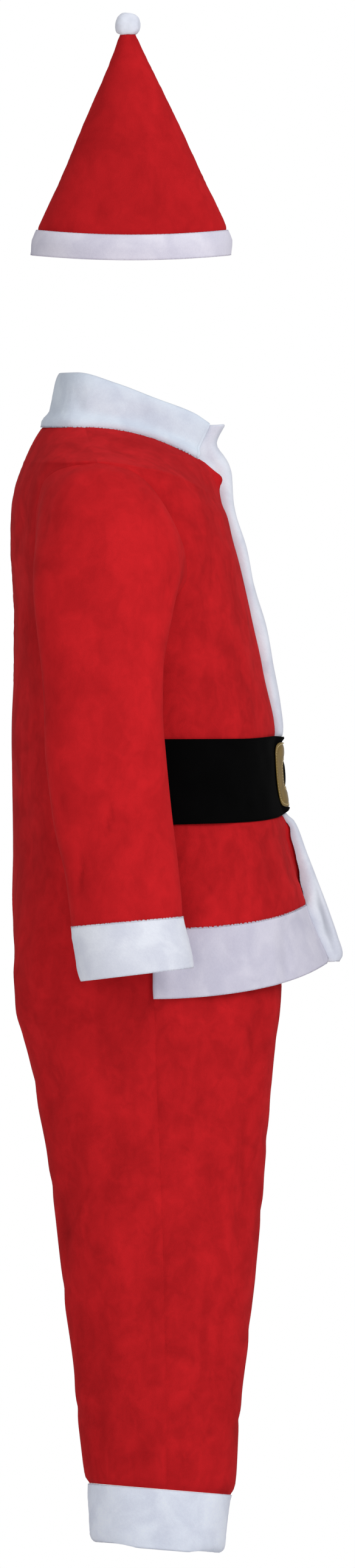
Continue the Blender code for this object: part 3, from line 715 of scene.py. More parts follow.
def new_mesh(name, points, faces, looks, face_look=None, uv=None, crease_shade=None, sharp=60):
    """A finished object from points, faces of equal size and, per face corner, a uv.

    A closed mesh whose volume, as the sum of the triple products of its corners, comes out
    negative has all its faces turned round, so that they point outwards.
    """
    points = points.reshape(-1, 3)
    first, second, third = (points[faces[:, k]] for k in (0, 1, 2))
    volume = (first * np.cross(second, third)).sum()
    if faces.shape[1] == 4:
        volume += (first * np.cross(third, points[faces[:, 3]])).sum()
    if volume < 0:
        faces = faces[:, ::-1]
        uv = None if uv is None else uv[:, ::-1]
    corners = faces.shape[1]
    mesh = bpy.data.meshes.new(name)
    mesh.vertices.add(len(points))
    mesh.vertices.foreach_set("co", points.astype(np.float32).ravel())
    mesh.loops.add(faces.size)
    mesh.loops.foreach_set("vertex_index", faces.astype(np.int32).ravel())
    mesh.polygons.add(len(faces))
    mesh.polygons.foreach_set("loop_start", np.arange(0, faces.size, corners, dtype=np.int32))
    mesh.polygons.foreach_set("use_smooth", np.ones(len(faces), bool))
    for look in looks:
        mesh.materials.append(look)
    if face_look is not None:
        mesh.polygons.foreach_set("material_index", face_look.astype(np.int32))
    if uv is not None:
        mesh.uv_layers.new(name="cloth").data.foreach_set("uv", uv.astype(np.float32).ravel())
    # Painted shade of each point, which darkens the base colour of its material.
    if crease_shade is not None:
        painted_shades = mesh.attributes.new("crease_shade", "FLOAT", "POINT")
        painted_shades.data.foreach_set("value", crease_shade.astype(np.float32))
    mesh.update(calc_edges=True)
    mesh.validate()
    mesh.set_sharp_from_angle(angle=math.radians(sharp))
    made = bpy.data.objects.new(name, mesh)
    bpy.context.scene.collection.objects.link(made)
    return made


def shell(name, outer, inner, looks, ring=False, cap=False, crease_shade=None):
    """One closed wall of cloth between two grids of points, its rims bridged by quads.

    looks are the materials of the face and of the wrong side. ring joins the last column to the
    first; cap closes the first row by joining its two halves. The uv is the distance over the
    cloth, along the rows and down the columns.
    """
    rows, columns = outer.shape[:2]
    wide = columns + ring
    place = np.arange(rows * wide).reshape(rows, wide)
    far = place + rows * wide
    vertex = (np.arange(rows)[:, None] * columns + np.arange(wide) % columns).ravel()
    vertex = np.concatenate([vertex, vertex + rows * columns])
    parts = [quads(place), quads(far)[:, ::-1], strip(place[-1], far[-1])]
    if cap:
        half = columns // 2
        parts += [strip(place[0, columns - 1:half - 1:-1], place[0, :half]),
                  strip(far[0, columns - 1:half - 1:-1], far[0, :half])[:, ::-1]]
    else:
        parts.append(strip(far[0], place[0]))
    if not ring:
        parts += [strip(place[:, 0], far[:, 0]), strip(far[:, -1], place[:, -1])]
    face_look = np.concatenate([np.full(len(part), min(k, 1)) for k, part in enumerate(parts)])
    places = np.concatenate(parts)
    looped = np.concatenate([outer, outer[:, :1]], axis=1) if ring else outer
    uv = np.stack([arc(looped, 1), -arc(looped, 0)], axis=-1).reshape(-1, 2)
    uv = np.concatenate([uv, uv])[places]
    points = np.concatenate([outer.reshape(-1, 3), inner.reshape(-1, 3)])
    painted_shade = None if crease_shade is None else np.tile(crease_shade.ravel(), 2)
    face_look = face_look if len(looks) > 1 else None
    return new_mesh(name, points, vertex[places], looks, face_look, uv, painted_shade)


def rounded(points, normals, wall, rim):
    """Outer and inner points of a soft wall that is rounded where its rim ends.

    The wall's half thickness follows a quarter circle as the distance from the rim grows from
    0 to half the wall: the root of one less the square of the part that is left, but at least
    0.12, so that the rim stays open.
    """
    left = 1 - np.clip(rim / (wall / 2), 0, 1)
    half = wall / 2 * np.maximum(np.sqrt(1 - left ** 2), 0.12)[..., None]
    middle = points - wall / 2 * normals
    return middle + half * normals, middle - half * normals


def pile(name, roots, over, out, look, length, spacing, seed, closed=False):
    """Short plush fibres along an edge, as narrow blades that lean out over what is beside it.

    Each blade starts at a seeded place along the line of roots, goes its own length in the
    direction over, turned sideways by a seeded angle, and arches away from the cloth along out
    by a parabola. Lengths and angles also swell and fade every few millimetres along the edge,
    which gathers the fibres in small tufts.
    """
    if closed:
        roots, over, out = (np.concatenate([g, g[:1]]) for g in (roots, over, out))
    run = line_arc(roots)
    draw = np.random.default_rng(seed)
    count = int(run[-1] / spacing)
    at = np.sort(draw.uniform(0, run[-1], count))
    root, over, out = sample(roots, run, at), unit(sample(over, run, at)), unit(sample(out, run, at))
    side = unit(np.cross(over, out))
    tuft = ease(1.0 + 1.3 * ripple(at[:, None], 0.0044, seed + 1))
    lean = draw.normal(0, 0.16, count) + 0.30 * ripple(at[:, None], 0.0060, seed + 2)
    reach = length * draw.uniform(0.80, 1.0, count) * (0.45 + 0.55 * tuft)
    lift = draw.uniform(0.0, 0.55, count)
    way = over + np.tan(np.clip(lean, -1.0, 1.0))[:, None] * side * 0.6
    root = root - 0.0004 * over + draw.uniform(-0.0006, 0.0001, count)[:, None] * out
    half = draw.uniform(0.00012, 0.00022, count)[:, None] * side
    middle = root + (0.55 * reach)[:, None] * way + (0.45 * lift * reach)[:, None] * out
    tip = root + reach[:, None] * way + (0.35 * lift * reach)[:, None] * out
    points = np.stack([root - half, root + half, middle + half * 0.9, middle - half * 0.9, tip], axis=1)
    first = 5 * np.arange(count)[:, None]
    faces = np.concatenate([first + [0, 1, 2], first + [0, 2, 3], first + [3, 2, 4]])
    return new_mesh(name, points, faces, [look], sharp=180)


class Value:
    """The output of a shader node. Arithmetic on it adds the Math nodes of the expression."""

    def __init__(self, look, socket):
        self.look, self.socket = look, socket

    def math(self, operation, *operands):
        return self.look.node("ShaderNodeMath", {"operation": operation}, dict(enumerate(operands)))

    def __add__(self, other):
        return self.math("ADD", self, other)

    def __sub__(self, other):
        return self.math("SUBTRACT", self, other)

    def __rsub__(self, other):
        return self.math("SUBTRACT", other, self)

    def __mul__(self, other):
        return self.math("MULTIPLY", self, other)

    def __pow__(self, other):
        return self.math("POWER", self, other)

    __radd__, __rmul__ = __add__, __mul__

    def between(self, low, high):
        """Smoothly 0 to 1 as the value goes from low to high."""
        return self.look.node("ShaderNodeMapRange", {"interpolation_type": "SMOOTHSTEP"},
                              {"Value": self, "From Min": low, "From Max": high})


class Look:
    """A material with one Principled shader, and one method that adds any other node."""

    def __init__(self, name, fixed):
        self.material = bpy.data.materials.new(name)
        self.material.use_nodes = True
        self.tree = self.material.node_tree
        self.shader = self.tree.nodes["Principled BSDF"]
        for socket, value in fixed.items():
            self.shader.inputs[socket].default_value = value

    def node(self, kind, settings=None, sockets=None, out=0):
        """A new node's output: first its settings, then the values or links of its sockets."""
        made = self.tree.nodes.new(kind)
        for key, value in (settings or {}).items():
            setattr(made, key, value)
        for key, value in (sockets or {}).items():
            if isinstance(value, Value):
                self.tree.links.new(value.socket, made.inputs[key])
            else:
                made.inputs[key].default_value = value
        return Value(self, made.outputs[out])

    def place(self, stretch=(1.0, 1.0, 1.0), shift=(0.0, 0.0, 0.0)):
        """Places on the suit, in metres, squeezed so that a pattern runs long on an axis."""
        at = self.node("ShaderNodeTexCoord", out="Object")
        return self.node("ShaderNodeMapping", {}, {"Vector": at, "Scale": stretch, "Location": shift})

    def cloth(self, stretch=(1.0, 1.0, 1.0)):
        """Places on the cloth itself: along its rows and down its columns, in metres."""
        at = self.node("ShaderNodeUVMap", {"uv_map": "cloth"})
        return self.node("ShaderNodeMapping", {}, {"Vector": at, "Scale": stretch})

    def crease_shade(self):
        """The painted shade of the point: 1 in the deepest creases."""
        return self.node("ShaderNodeAttribute", {"attribute_name": "crease_shade"}, out="Fac")

    def noise(self, at, size, detail=2.0, distortion=0.0):
        """Soft noise with features of a size in metres, about a half."""
        return self.node("ShaderNodeTexNoise", {}, {"Vector": at, "Scale": 1 / size, "Detail": detail,
                                                    "Roughness": 0.55, "Distortion": distortion})

    def mix(self, factor, first, second):
        """The first colour where the factor is 0 and the second where it is 1."""
        sockets = {0: factor, 6: tint(first), 7: tint(second)}
        return self.node("ShaderNodeMix", {"data_type": "RGBA"}, sockets, out=2)

    def feed(self, **sockets):
        for name, value in sockets.items():
            self.tree.links.new(value.socket, self.shader.inputs[name.replace("_", " ")])

    def bump(self, height, depth, strength=1.0):
        """Relief of a depth in metres where the height goes from 0 to 1."""
        self.feed(Normal=self.node("ShaderNodeBump", {}, {"Height": height, "Distance": depth,
                                                          "Strength": strength}))


def tint(colour, gain=1.0):
    """A colour of three numbers times a gain, or a gain of each, as the four a socket takes."""
    return colour if isinstance(colour, Value) else (*(np.array(colour[:3]) * gain).tolist(), 1.0)


def velour_look(name, colour, shift, dark, light):
    """Red velour: crushed nap in soft mottled patches that run downwards, over a fine grain, with
    painted shade in its creases and seams.
    """
    look = Look(name, {"Specular IOR Level": 0.05, "Sheen Weight": 0.022, "Sheen Roughness": 0.40,
                       "Sheen Tint": (1.0, 0.22, 0.20, 1.0)})
    at = look.place((1.0, 1.0, 0.72), (shift, 2 * shift, 3 * shift))
    patches = look.noise(at, 0.058, 3.0, 0.9)
    brushed = look.noise(look.place((1.0, 1.0, 0.80)), 0.017, 3.0, 0.7)
    streaks = look.noise(look.place((1.0, 1.0, 0.07)), 0.0052, 2.0)
    grain = look.noise(look.cloth((1.0, 0.6, 1.0)), 0.00115, 2.0)
    crease_shade = look.crease_shade()
    nap = (patches.between(0.28, 0.72) * 0.52 + brushed.between(0.28, 0.72) * 0.30
           + streaks.between(0.30, 0.72) * 0.04 + grain.between(0.25, 0.78) * 0.14)
    worn = look.mix(nap, tint(colour, dark), tint(colour, light))
    # Painted shade: the base colour darkens towards 0.4 of the red where the point's painted shade is
    # high.
    look.feed(Base_Color=look.mix(crease_shade.between(0.10, 1.60), worn, tint(colour, 0.40)),
              Roughness=0.92 - 0.12 * nap)
    look.bump(grain * 0.60 + streaks * 0.10 + brushed * 0.30, 0.0010, 0.45)
    return look.material


def knit_look(name, colour):
    """The knitted wrong side of a pile cloth: fine ribs down the cloth."""
    look = Look(name, {"Specular IOR Level": 0.25, "Roughness": 0.9})
    ribs = look.node("ShaderNodeTexWave", {"bands_direction": "X"},
                     {"Vector": look.cloth(), "Scale": 320.0, "Distortion": 0.8, "Detail": 1.0},
                     out="Fac")
    look.feed(Base_Color=look.mix(ribs, tint(colour, 0.66), tint(colour, 0.86)))
    look.bump(ribs, 0.0004, 0.5)
    return look.material


def plush_look(name, colour, shade, sheen, lumps):
    """Short plush: a close smooth pile in soft cloudy patches, a little hollow here and there, with
    painted shade in its creases and by its rims.
    """
    look = Look(name, {"Specular IOR Level": 0.05, "Roughness": 0.95, "Sheen Weight": sheen,
                       "Sheen Roughness": 0.6})
    clouds = look.noise(look.place(), 0.045, 2.0, 0.6)
    tufts = look.noise(look.cloth((1.0, 0.8, 1.0)), 0.0030, 3.0, 0.3)
    fibres = look.noise(look.cloth((1.0, 0.45, 1.0)), 0.0008, 2.0)
    crease_shade = look.crease_shade()
    depth = (clouds.between(0.28, 0.72) * 0.66 + tufts.between(0.28, 0.74) * 0.18
             + fibres.between(0.25, 0.75) * 0.16)
    base = look.mix(depth, shade, colour)
    # Painted shade: the colour darkens towards 0.62 of the shade colour where the point's painted shade
    # is high.
    look.feed(Base_Color=look.mix(crease_shade.between(0.10, 1.4), base, tint(shade, 0.62)))
    look.bump(tufts * lumps + fibres * (1 - lumps), 0.0009, 0.35)
    return look.material


def vinyl_look(name, colour):
    """Glossy gold vinyl with a faint pebbled grain and duller, browner rubbed places."""
    look = Look(name, {"Metallic": 0.25, "Specular IOR Level": 0.5, "Coat Roughness": 0.08})
    rubbed = look.noise(look.place(), 0.012, 3.0, 0.5)
    pebbles = look.node("ShaderNodeTexVoronoi", {"feature": "SMOOTH_F1"},
                        {"Vector": look.place(), "Scale": 900.0}, out="Distance")
    look.feed(Base_Color=look.mix(rubbed.between(0.35, 0.70), tint(colour, 0.86), tint(colour, 1.16)),
              Roughness=0.30 + 0.16 * rubbed, Coat_Weight=0.40 - 0.2 * rubbed)
    look.bump(pebbles, 0.0002, 0.4)
    return look.material


def thread_look(name, colour):
    """Twisted thread: fine slanting plies."""
    look = Look(name, {"Specular IOR Level": 0.4, "Roughness": 0.55})
    plies = look.node("ShaderNodeTexWave", {"bands_direction": "DIAGONAL"},
                      {"Vector": look.place(), "Scale": 900.0, "Distortion": 1.0}, out="Fac")
    look.feed(Base_Color=look.mix(plies, tint(colour, 0.7), tint(colour, 1.1)))
    look.bump(plies, 0.0001, 0.6)
    return look.material


def floor_look(name, colour):
    """A pale painted floor, hardly mottled."""
    look = Look(name, {"Specular IOR Level": 0.2})
    mottle = look.noise(look.place(), 0.35, 2.0)
    look.feed(Base_Color=look.mix(mottle, tint(colour, 0.985), tint(colour, 1.0)),
              Roughness=0.8 + 0.1 * mottle)
    return look.material


def armhole_angle(z, edge, under=0.0):
    """Angle at which a level's section meets the armhole, or the side seam clear of it.

    under is how much further the section runs on, beneath the sleeve.
    """
    seam, power, back = read_all(BODY, "seam power back", z)
    side = back if edge == "back" else read(JACKET, "front", z)
    cosine = np.clip((read(ARMHOLE, edge, z) - seam) / (side - seam), 0, 1) ** (1 / power)
    cosine = np.where((z < SHOULDER) & (z > ARMPIT), cosine, 0.0)
    angle = np.arccos(cosine) + np.where(cosine > 0, under, 0.0)
    return angle if edge == "back" else math.pi - angle


def centre_angle(z):
    """Angle at which the back or the trouser front reaches the middle or its inseam."""
    leg, inseam, power = read_all(BODY, "leg inseam power", z)
    sine = np.clip(leg / (leg - inseam), -1, 1)
    return -np.arcsin(signed_power(sine, 1 / power))


def edge_angle(z, distance):
    """Angle at which the jacket's front lies a given distance from the middle."""
    half = read(BODY, "half", z) + read(JACKET, "flare", z)
    return math.pi - np.arcsin((distance / half) ** (1 / jacket_power(z)))


def relief(points, normals, seed, sizes, folds=None, side=None, centre=None,
           seams="left right top bottom", columns=(), tuck=0.0):
    """Depth to which cloth is pressed in, and a painted shade that is 1 in its deepest creases.

    The depth is the sum of the broad folds, the small creases that face the side and those that
    face the front or the back, two slow waves of the whole cloth, and, near each seam, a groove
    that falls off as a bell with small puckers across it, and is faint over a shoulder. A tuck
    draws the last rows in, which rolls the cloth over the trim below them.
    """
    broad = fold_depth(points, folds) if folds else np.zeros(points.shape[:-1])
    fine = np.zeros_like(broad)
    if side:
        facing = ease((np.abs(normals[..., 0]) - 0.15) / 0.3)
        fine += facing * crease_depth(points, side, "y", 2 * seed + 11)
    if centre:
        facing = ease((np.abs(normals[..., 1]) - 0.55) / 0.25)
        fine += facing * crease_depth(points * [-1, 1, 1], centre, "x", 2 * seed + 12)
    away = np.min([from_edge(points, seams), *(from_column(points, c) for c in columns)], axis=0)
    clear = ease((away - 0.001) / 0.013)
    broad, fine = broad * clear, fine * clear * sizes.crease_gain
    outward, up = np.abs(points[..., 0]), points[..., 2]
    faint = 1 - 0.85 * (ease((up + 0.215) / 0.03) * ease((outward - 0.10) / 0.04))
    groove = sizes.seam_depth * bell(away, sizes.seam_width) * faint
    pucker = 0.32 * sizes.seam_depth * bell(away, 0.012) * ripple(points, 0.011, seed + 40) * faint
    tall = points * [1.0, 1.0, 0.42]
    waves = sizes.wave_depth * (ripple(tall, 0.13, seed + 21) + 0.35 * ripple(tall, 0.045, seed + 31))
    if tuck:
        broad = broad + tuck * (1 - ease(from_edge(points, "bottom") / 0.011))
    # Painted shade in the small creases, in the seam grooves and a little in the broad folds.
    painted_shade = fine / 0.0032 + 0.30 * groove / sizes.seam_depth + 0.05 * broad / 0.005
    return broad + fine + groove + pucker + waves * ease(away / 0.03), painted_shade


def velour_wall(points, normals, seed, sizes, **creases):
    """Outer points, inner points and painted shade of velour pressed in by its relief."""
    depth, painted_shade = relief(points, normals, seed, sizes, **creases)
    outer = points - depth[..., None] * normals
    return outer, outer - sizes.velour_wall * normals, painted_shade


def cloth_on(form, levels, start, end, width, seed, sizes, step=VELOUR_STEP, **creases):
    """Outer points, inner points and painted shade of a piece of velour laid on a form."""
    angle = spread(start, end, fractions(width, step))
    z = np.broadcast_to(levels[:, None], angle.shape)
    return velour_wall(*on_form(form, z, angle), seed, sizes, **creases)


def levels_past_arm(end):
    """Levels from the neck past the shoulder and the armpit to an end."""
    return levels_between(0.0, SHOULDER, SHOULDER - 0.012, ARMPIT + 0.012, ARMPIT, end)


def back_cloth(seed, sizes):
    """A back piece: the back of the body form, from the centre seam to the armhole and the side."""
    levels = levels_past_arm(LEG_END)
    return cloth_on(body, levels, centre_angle(levels), armhole_angle(levels, "back", SLEEVE_LAP),
                    0.46, seed, sizes, folds=BACK_FOLDS, side=BACK_CREASES,
                    centre=BACK_CENTRE_CREASES, tuck=LEG_TUCK)


def jacket_cloth(seed, sizes):
    """A front of the jacket form, with a painted shadow by a bell beside the front band."""
    levels = levels_past_arm(HEM_SEAM)
    outer, inner, painted_shade = cloth_on(
        worn_jacket, levels, armhole_angle(levels, "front", SLEEVE_LAP), edge_angle(levels, FRONT_EDGE),
        0.30, seed, sizes, step=0.006, folds=JACKET_FOLDS, side=JACKET_CREASES,
        centre=JACKET_CENTRE_CREASES, seams="left top bottom")
    # Painted shadow beside the band: the width of its bell, wider down the skirt.
    shadow = 0.0068 + 0.0060 * ease((SKIRT_TOP - outer[..., 2]) / 0.040)
    return outer, inner, painted_shade + 1.5 * bell(from_edge(outer, "right"), shadow)


def trouser_cloth(seed, sizes):
    """A trouser front: the front of the body form, from the side seam to the inseam."""
    levels = levels_between(WAIST, LEG_END)
    return cloth_on(body, levels, np.full(len(levels), math.pi / 2), math.pi - centre_angle(levels),
                    0.38, seed, sizes, folds=TROUSER_FOLDS, side=TROUSER_CREASES,
                    centre=TROUSER_CENTRE_CREASES, seams="left right bottom", tuck=LEG_TUCK)


def armhole_line():
    """Points round the armhole: down its back edge, and up its front edge from the armpit."""
    z = ARMHOLE["z"]
    run = line_arc(body(z, armhole_angle(z, "back")))
    z = np.interp(np.linspace(0, run[-1], 42), run, z)
    z[0], z[-1] = SHOULDER, ARMPIT
    back, front = body(z, armhole_angle(z, "back")), jacket(z, armhole_angle(z, "front"))
    return np.concatenate([back, front[-2:0:-1]])


def sleeve_rings(stations):
    """Rings of the right sleeve; the first is the armhole, whose own shape fades down the arm.

    A ring is an oval: its outer and inner points lie on its cosine, its back and front on its
    sine. To it is added the armhole's own difference from the first oval, times the keep.
    """
    def oval(station, turn):
        outer, outer_z, inner, inner_z, back, front, tilt = read_all(
            SLEEVE, "outer outer_z inner inner_z back front tilt", station)
        c, s = np.cos(turn), np.sin(turn)
        x = (outer + inner) / 2 + (outer - inner) / 2 * c
        y = (back + front) / 2 + (back - front) / 2 * s
        z = (outer_z + inner_z) / 2 + (outer_z - inner_z) / 2 * c
        return xyz(-x, y, z - tilt * (y - (back + front) / 2))

    armhole = armhole_line()
    deepest, foremost = ARMHOLE["back"].max(), ARMHOLE["front"].min()
    across = (armhole[:, 1] - (deepest + foremost) / 2) / (deepest - foremost)
    up = (armhole[:, 2] - (SHOULDER + ARMPIT) / 2) / (SHOULDER - ARMPIT)
    turn = np.unwrap(np.arctan2(across, up))
    station, turn = grid(stations, turn)
    own = armhole - oval(np.zeros(len(armhole)), turn[0])
    return oval(station, turn) + read(SLEEVE, "keep", station)[..., None] * own


def sleeve_cloth(seed, sizes):
    """A sleeve: the rings from the armhole to the cuff, with a seam down their lowest points."""
    points = sleeve_rings(-CUFF_RING * fractions(0.60, VELOUR_STEP))
    return velour_wall(points, grid_normal(points, ring=True), seed, sizes, folds=SLEEVE_FOLDS,
                       side=SLEEVE_CREASES, seams="top bottom", columns=[points[0, :, 2].argmin()])


def plush_band(points, normals, seed, sizes, rims, proud=0.0012, creases=None, shade=0.0):
    """Outer points, inner points and painted shade of a plush band: a soft wall with rounded rims.

    It stands a little proud of the cloth it is sewn to, swells slightly between its rims, and
    has slow shallow dents.
    """
    away = from_edge(points, rims)
    swell = 0.0010 * ease(away / 0.018)
    dents = sizes.wave_depth * 0.45 * ripple(points * [1, 1, 0.8], 0.075, seed + 51)
    lumps = 0.00022 * ripple(points, 0.008, seed + 61, count=20)
    valley = crease_depth(points, creases, "y", 2 * seed + 11) if creases else 0.0 * away
    lift = proud + swell - valley + (dents + lumps) * ease(away / 0.01)
    points = points + lift[..., None] * normals
    outer, inner = rounded(points, normals, sizes.plush_wall + 0.0008, away)
    # Painted shade: the given shade, plus more in its dents, its crease valleys and along its rims.
    painted_shade = shade + np.clip(-dents / 0.002, -1, 1) * 0.3 + valley / 0.005 + 0.25 * bell(away, 0.002)
    return outer, inner, painted_shade


def rim_pile(name, outer, normals, look, sizes, row, seed, gain=1.0, closed=True):
    """Pile beside the first (0) or last (-1) row of a band, leaning over what lies beyond it."""
    root, inward = (1, 3) if row == 0 else (-2, -4)
    over = unit(outer[root] - outer[inward])
    return pile(name, outer[root], over, normals[root], look, sizes.pile_length * gain,
                sizes.pile_spacing, seed, closed)


def rim_piles(name, outer, normals, look, sizes, seed, gains, closed=True):
    """Pile beside the top and the bottom rim of a band, the second with the seed before."""
    return [rim_pile(f"{name}_pile_{edge}", outer, normals, look, sizes, row, seed + row, gain, closed)
            for edge, row, gain in zip(("top", "bottom"), (0, -1), gains)]


def collar_grid(places, up):
    """Points of the stand collar: from its seam up to its top edge, plus its roll at the seam.

    The seam follows the neck of the jacket form. The top edge is the same line drawn in, at
    heights from the collar's own table; a point between them lies on the straight line, moved
    out by the profile.
    """
    base, over = (jacket(np.zeros_like(places), end * np.abs(places))
                  for end in (COLLAR_SEAM_END, COLLAR_END))
    base[:, 2] -= 0.0020
    y = COLLAR_TOP["y"][0] + COLLAR_DEPTH * (over[:, 1] - over[:, 1].max())
    top = xyz(COLLAR_WIDTH * over[:, 0], y, read(COLLAR_TOP, "z", y))
    for line in (base, top):
        line[:, 0] *= np.sign(places)
    q = np.clip((1 - np.abs(places)) / 0.022, 0, 1)
    top[:, 2] -= 0.0045 * (1 - np.sqrt(np.clip(2 * q - q * q, 0, 1)))
    points = base + (top - base) * up[:, None, None]
    normals = -grid_normal(points)
    return points + read(COLLAR, "out", -up)[:, None, None] * normals, normals


def front_beside(z):
    """y of the jacket's front where the edge of the band lies on it, at a height.

    The level whose own drop brings it to that height is found by putting it back eight times.
    """
    level = z
    for _ in range(8):
        level = z + read(JACKET, "drop", level)
    return jacket(level, edge_angle(level, BAND_HALF))[..., 1]


def band_profile(z, across):
    """Outer points of the centre-front band at heights, across from -1 to 1.

    Its section is a soft dome with square shoulders: x is the half width times the sine and y
    rises from the edge to the ridge by the cosine, both to the band's power, at places evenly
    spaced along the section. Its edges lie on the fronts, a little into their velour. At the
    neck they run on as a flange under the fronts and the collar, widest where rise is 0.
    """
    turn = np.linspace(-math.pi / 2, math.pi / 2, 2001)
    side, rise = signed_power(np.sin(turn), BAND_POWER), np.cos(turn) ** BAND_POWER
    run = np.concatenate([[0.0], np.cumsum(np.hypot(2 * np.diff(side), np.diff(rise)))])
    place = (across + 1) / 2 * run[-1]
    side, rise = np.interp(place, run, side), np.interp(place, run, rise)
    on_front = front_beside(z) - band_lift(z) + 0.0030 - 0.0024 * ease((-0.540 - z) / 0.020)
    free = read(FRONT_BAND, "edge", z)
    neck = ease((JACKET["z"][0] - JACKET["drop"][0] * 0.86 - z) / 0.006)
    edge = free + (on_front - free) * neck
    flange = ease((-0.008 - z) / 0.014) * ease((z + 0.082) / 0.018) * np.clip(1 - rise / 0.30, 0, 1)
    x = (1.04 * BAND_HALF + 0.0140 * flange) * side
    y = edge + (read(FRONT_BAND, "ridge", z) - edge) * rise + 0.0150 * flange
    return xyz(x, y + 0.0010 * rise ** 6 * (1 - side ** 2), z)


def belt_points(x, down):
    """Outer points of the belt and their normals, at distances x from the middle of the front.

    x is negative on the right side; down goes from the top (0) to the bottom (1). The belt lies
    off the jacket by its own wall, and by an eased rise over the front band; its two edges turn
    out into a lip.
    """
    half, power = read_all(BODY, "half power", BUCKLE_MIDDLE)
    angle = math.pi - np.arcsin(np.clip(np.abs(x) / half, 0, 1) ** (1 / power))
    forward = 1 - angle / (math.pi / 2)
    top, bottom = read_all(BELT, "top bottom", forward)
    z = top + (bottom - top) * down
    side = np.where(x > 0, -1.0, 1.0)[..., None] * np.array([1.0, 0, 0]) + np.array([0, 1.0, 1.0])
    points, normals = (found * side for found in on_form(jacket, z, angle))
    rise = BELT_RISE * ease((BELT_RAMP - np.abs(x)) / (BELT_RAMP - BAND_HALF))
    lip = (BELT_LIP * np.clip(1 - np.abs(x) / BELT_RAMP, 0, 1)
           * np.clip((np.abs(2 * down - 1) - 0.87) / 0.13, 0, 1))
    return points + (BELT_CLEAR + BELT_WALL + rise + lip)[..., None] * normals, normals


def buckle_outline(out, turn):
    """x and down of the buckle's frame, from its hole (0) to its outer edge (1), at a turn.

    It is a rounded square: the cosine and the sine to the buckle's power, times the half sizes.
    """
    wide = HOLE_HALF_WIDTH + (BUCKLE_HALF_WIDTH - HOLE_HALF_WIDTH) * out
    high = HOLE_HALF_HEIGHT + (BUCKLE_HALF_HEIGHT - HOLE_HALF_HEIGHT) * out
    x, up = (size * signed_power(way, BUCKLE_POWER)
             for size, way in ((wide, np.cos(turn)), (high, np.sin(turn))))
    return x, 0.5 - up / BELT_DEPTH


def stitches(name, line, normals, look, length=0.0026, gap=0.0010, thick=0.00050):
    """Running stitches along a closed line: each a short thread that dips into the cloth.

    A stitch is a tube of six sides: its middle line follows the line of points, and sinks by a
    parabola towards both of its ends.
    """
    line, normals = np.concatenate([line, line[:1]]), np.concatenate([normals, normals[:1]])
    run = line_arc(line)
    count = int(run[-1] / (length + gap))
    t = np.linspace(-1, 1, 5)
    at = (np.arange(count)[:, None] + 0.5) * run[-1] / count + t * length / 2
    middle, out = sample(line, run, at), unit(sample(normals, run, at))
    along = unit(np.gradient(middle, axis=1))
    side = np.cross(along, out)
    middle = middle + (thick * (0.7 - 1.5 * t ** 2))[None, :, None] * out
    turn = turns(6)
    thin = thick * np.sqrt(1.08 - t ** 2)[None, :, None, None]
    points = (middle[:, :, None] + thin * (np.cos(turn)[:, None] * side[:, :, None]
                                           + np.sin(turn)[:, None] * out[:, :, None]))
    ids = np.arange(count * 30).reshape(count, 5, 6)
    ids = np.concatenate([ids, ids[:, :, :1]], axis=2)
    faces = [np.stack([ids[:, k, :-1], ids[:, k, 1:], ids[:, k + 1, 1:], ids[:, k + 1, :-1]], axis=-1)
             for k in range(4)]
    caps = [ids[:, 0, [3, 2, 1, 0]], ids[:, 0, [5, 4, 3, 0]],
            ids[:, 4, [0, 1, 2, 3]], ids[:, 4, [0, 3, 4, 5]]]
    faces = np.concatenate([part.reshape(-1, 4) for part in faces + caps])
    return new_mesh(name, points, faces, [look], sharp=180)


def cap_points(z, angle):
    """Points of the cap: level ovals between the back and the front of its table.

    Its brim sags at both sides by the square of the sine.
    """
    back, front, round_ = read_all(CAP, "back front round", z)
    deep = (back - front) / 2
    sag = CAP_SAG * np.sin(angle) ** 2 * np.clip((0.33 - z) / 0.08, 0, 1)
    return xyz(-deep * round_ * np.sin(angle), (back + front) / 2 + deep * np.cos(angle), z - sag)


def ball_way(polar, turn):
    """Unit direction at an angle from the top and a turn about it."""
    return xyz(np.sin(polar) * np.cos(turn), np.sin(polar) * np.sin(turn), np.cos(polar))


def ball_point(way):
    """Point of the pompom in a direction: a ball a little squarer than a sphere, with soft lumps.

    The direction is divided by its own length in the pompom's norm and stretched to its radii;
    the lumps are two ripples of the direction.
    """
    squarish = way / (np.abs(way) ** POMPOM_NORM).sum(axis=-1, keepdims=True) ** (1 / POMPOM_NORM)
    lumps = 0.0006 * ripple(way, 1.1, 62) + 0.0002 * ripple(way, 0.42, 64)
    radii = np.array(POMPOM_RADII) - 0.0006
    return np.array(POMPOM_CENTRE) + squarish * radii + lumps[..., None] * way


def metres(name, description, default, low=0.0):
    """A setting that is a length."""
    return FloatProperty(name=name, description=description, default=default, min=low, unit="LENGTH")


def factor(name, description, default, **limits):
    """A setting that is a plain number."""
    return FloatProperty(name=name, description=description, default=default, min=0.0,
                         subtype="FACTOR", **limits)


def watts(name, description, default):
    """A setting that is a light's power."""
    return FloatProperty(name=name, description=description, default=default, min=0.0, unit="POWER")


def rgb(name, description, default):
    """A setting that is a colour."""
    return FloatVectorProperty(name=name, description=description, subtype="COLOR", size=3,
                               min=0, max=1, default=default)


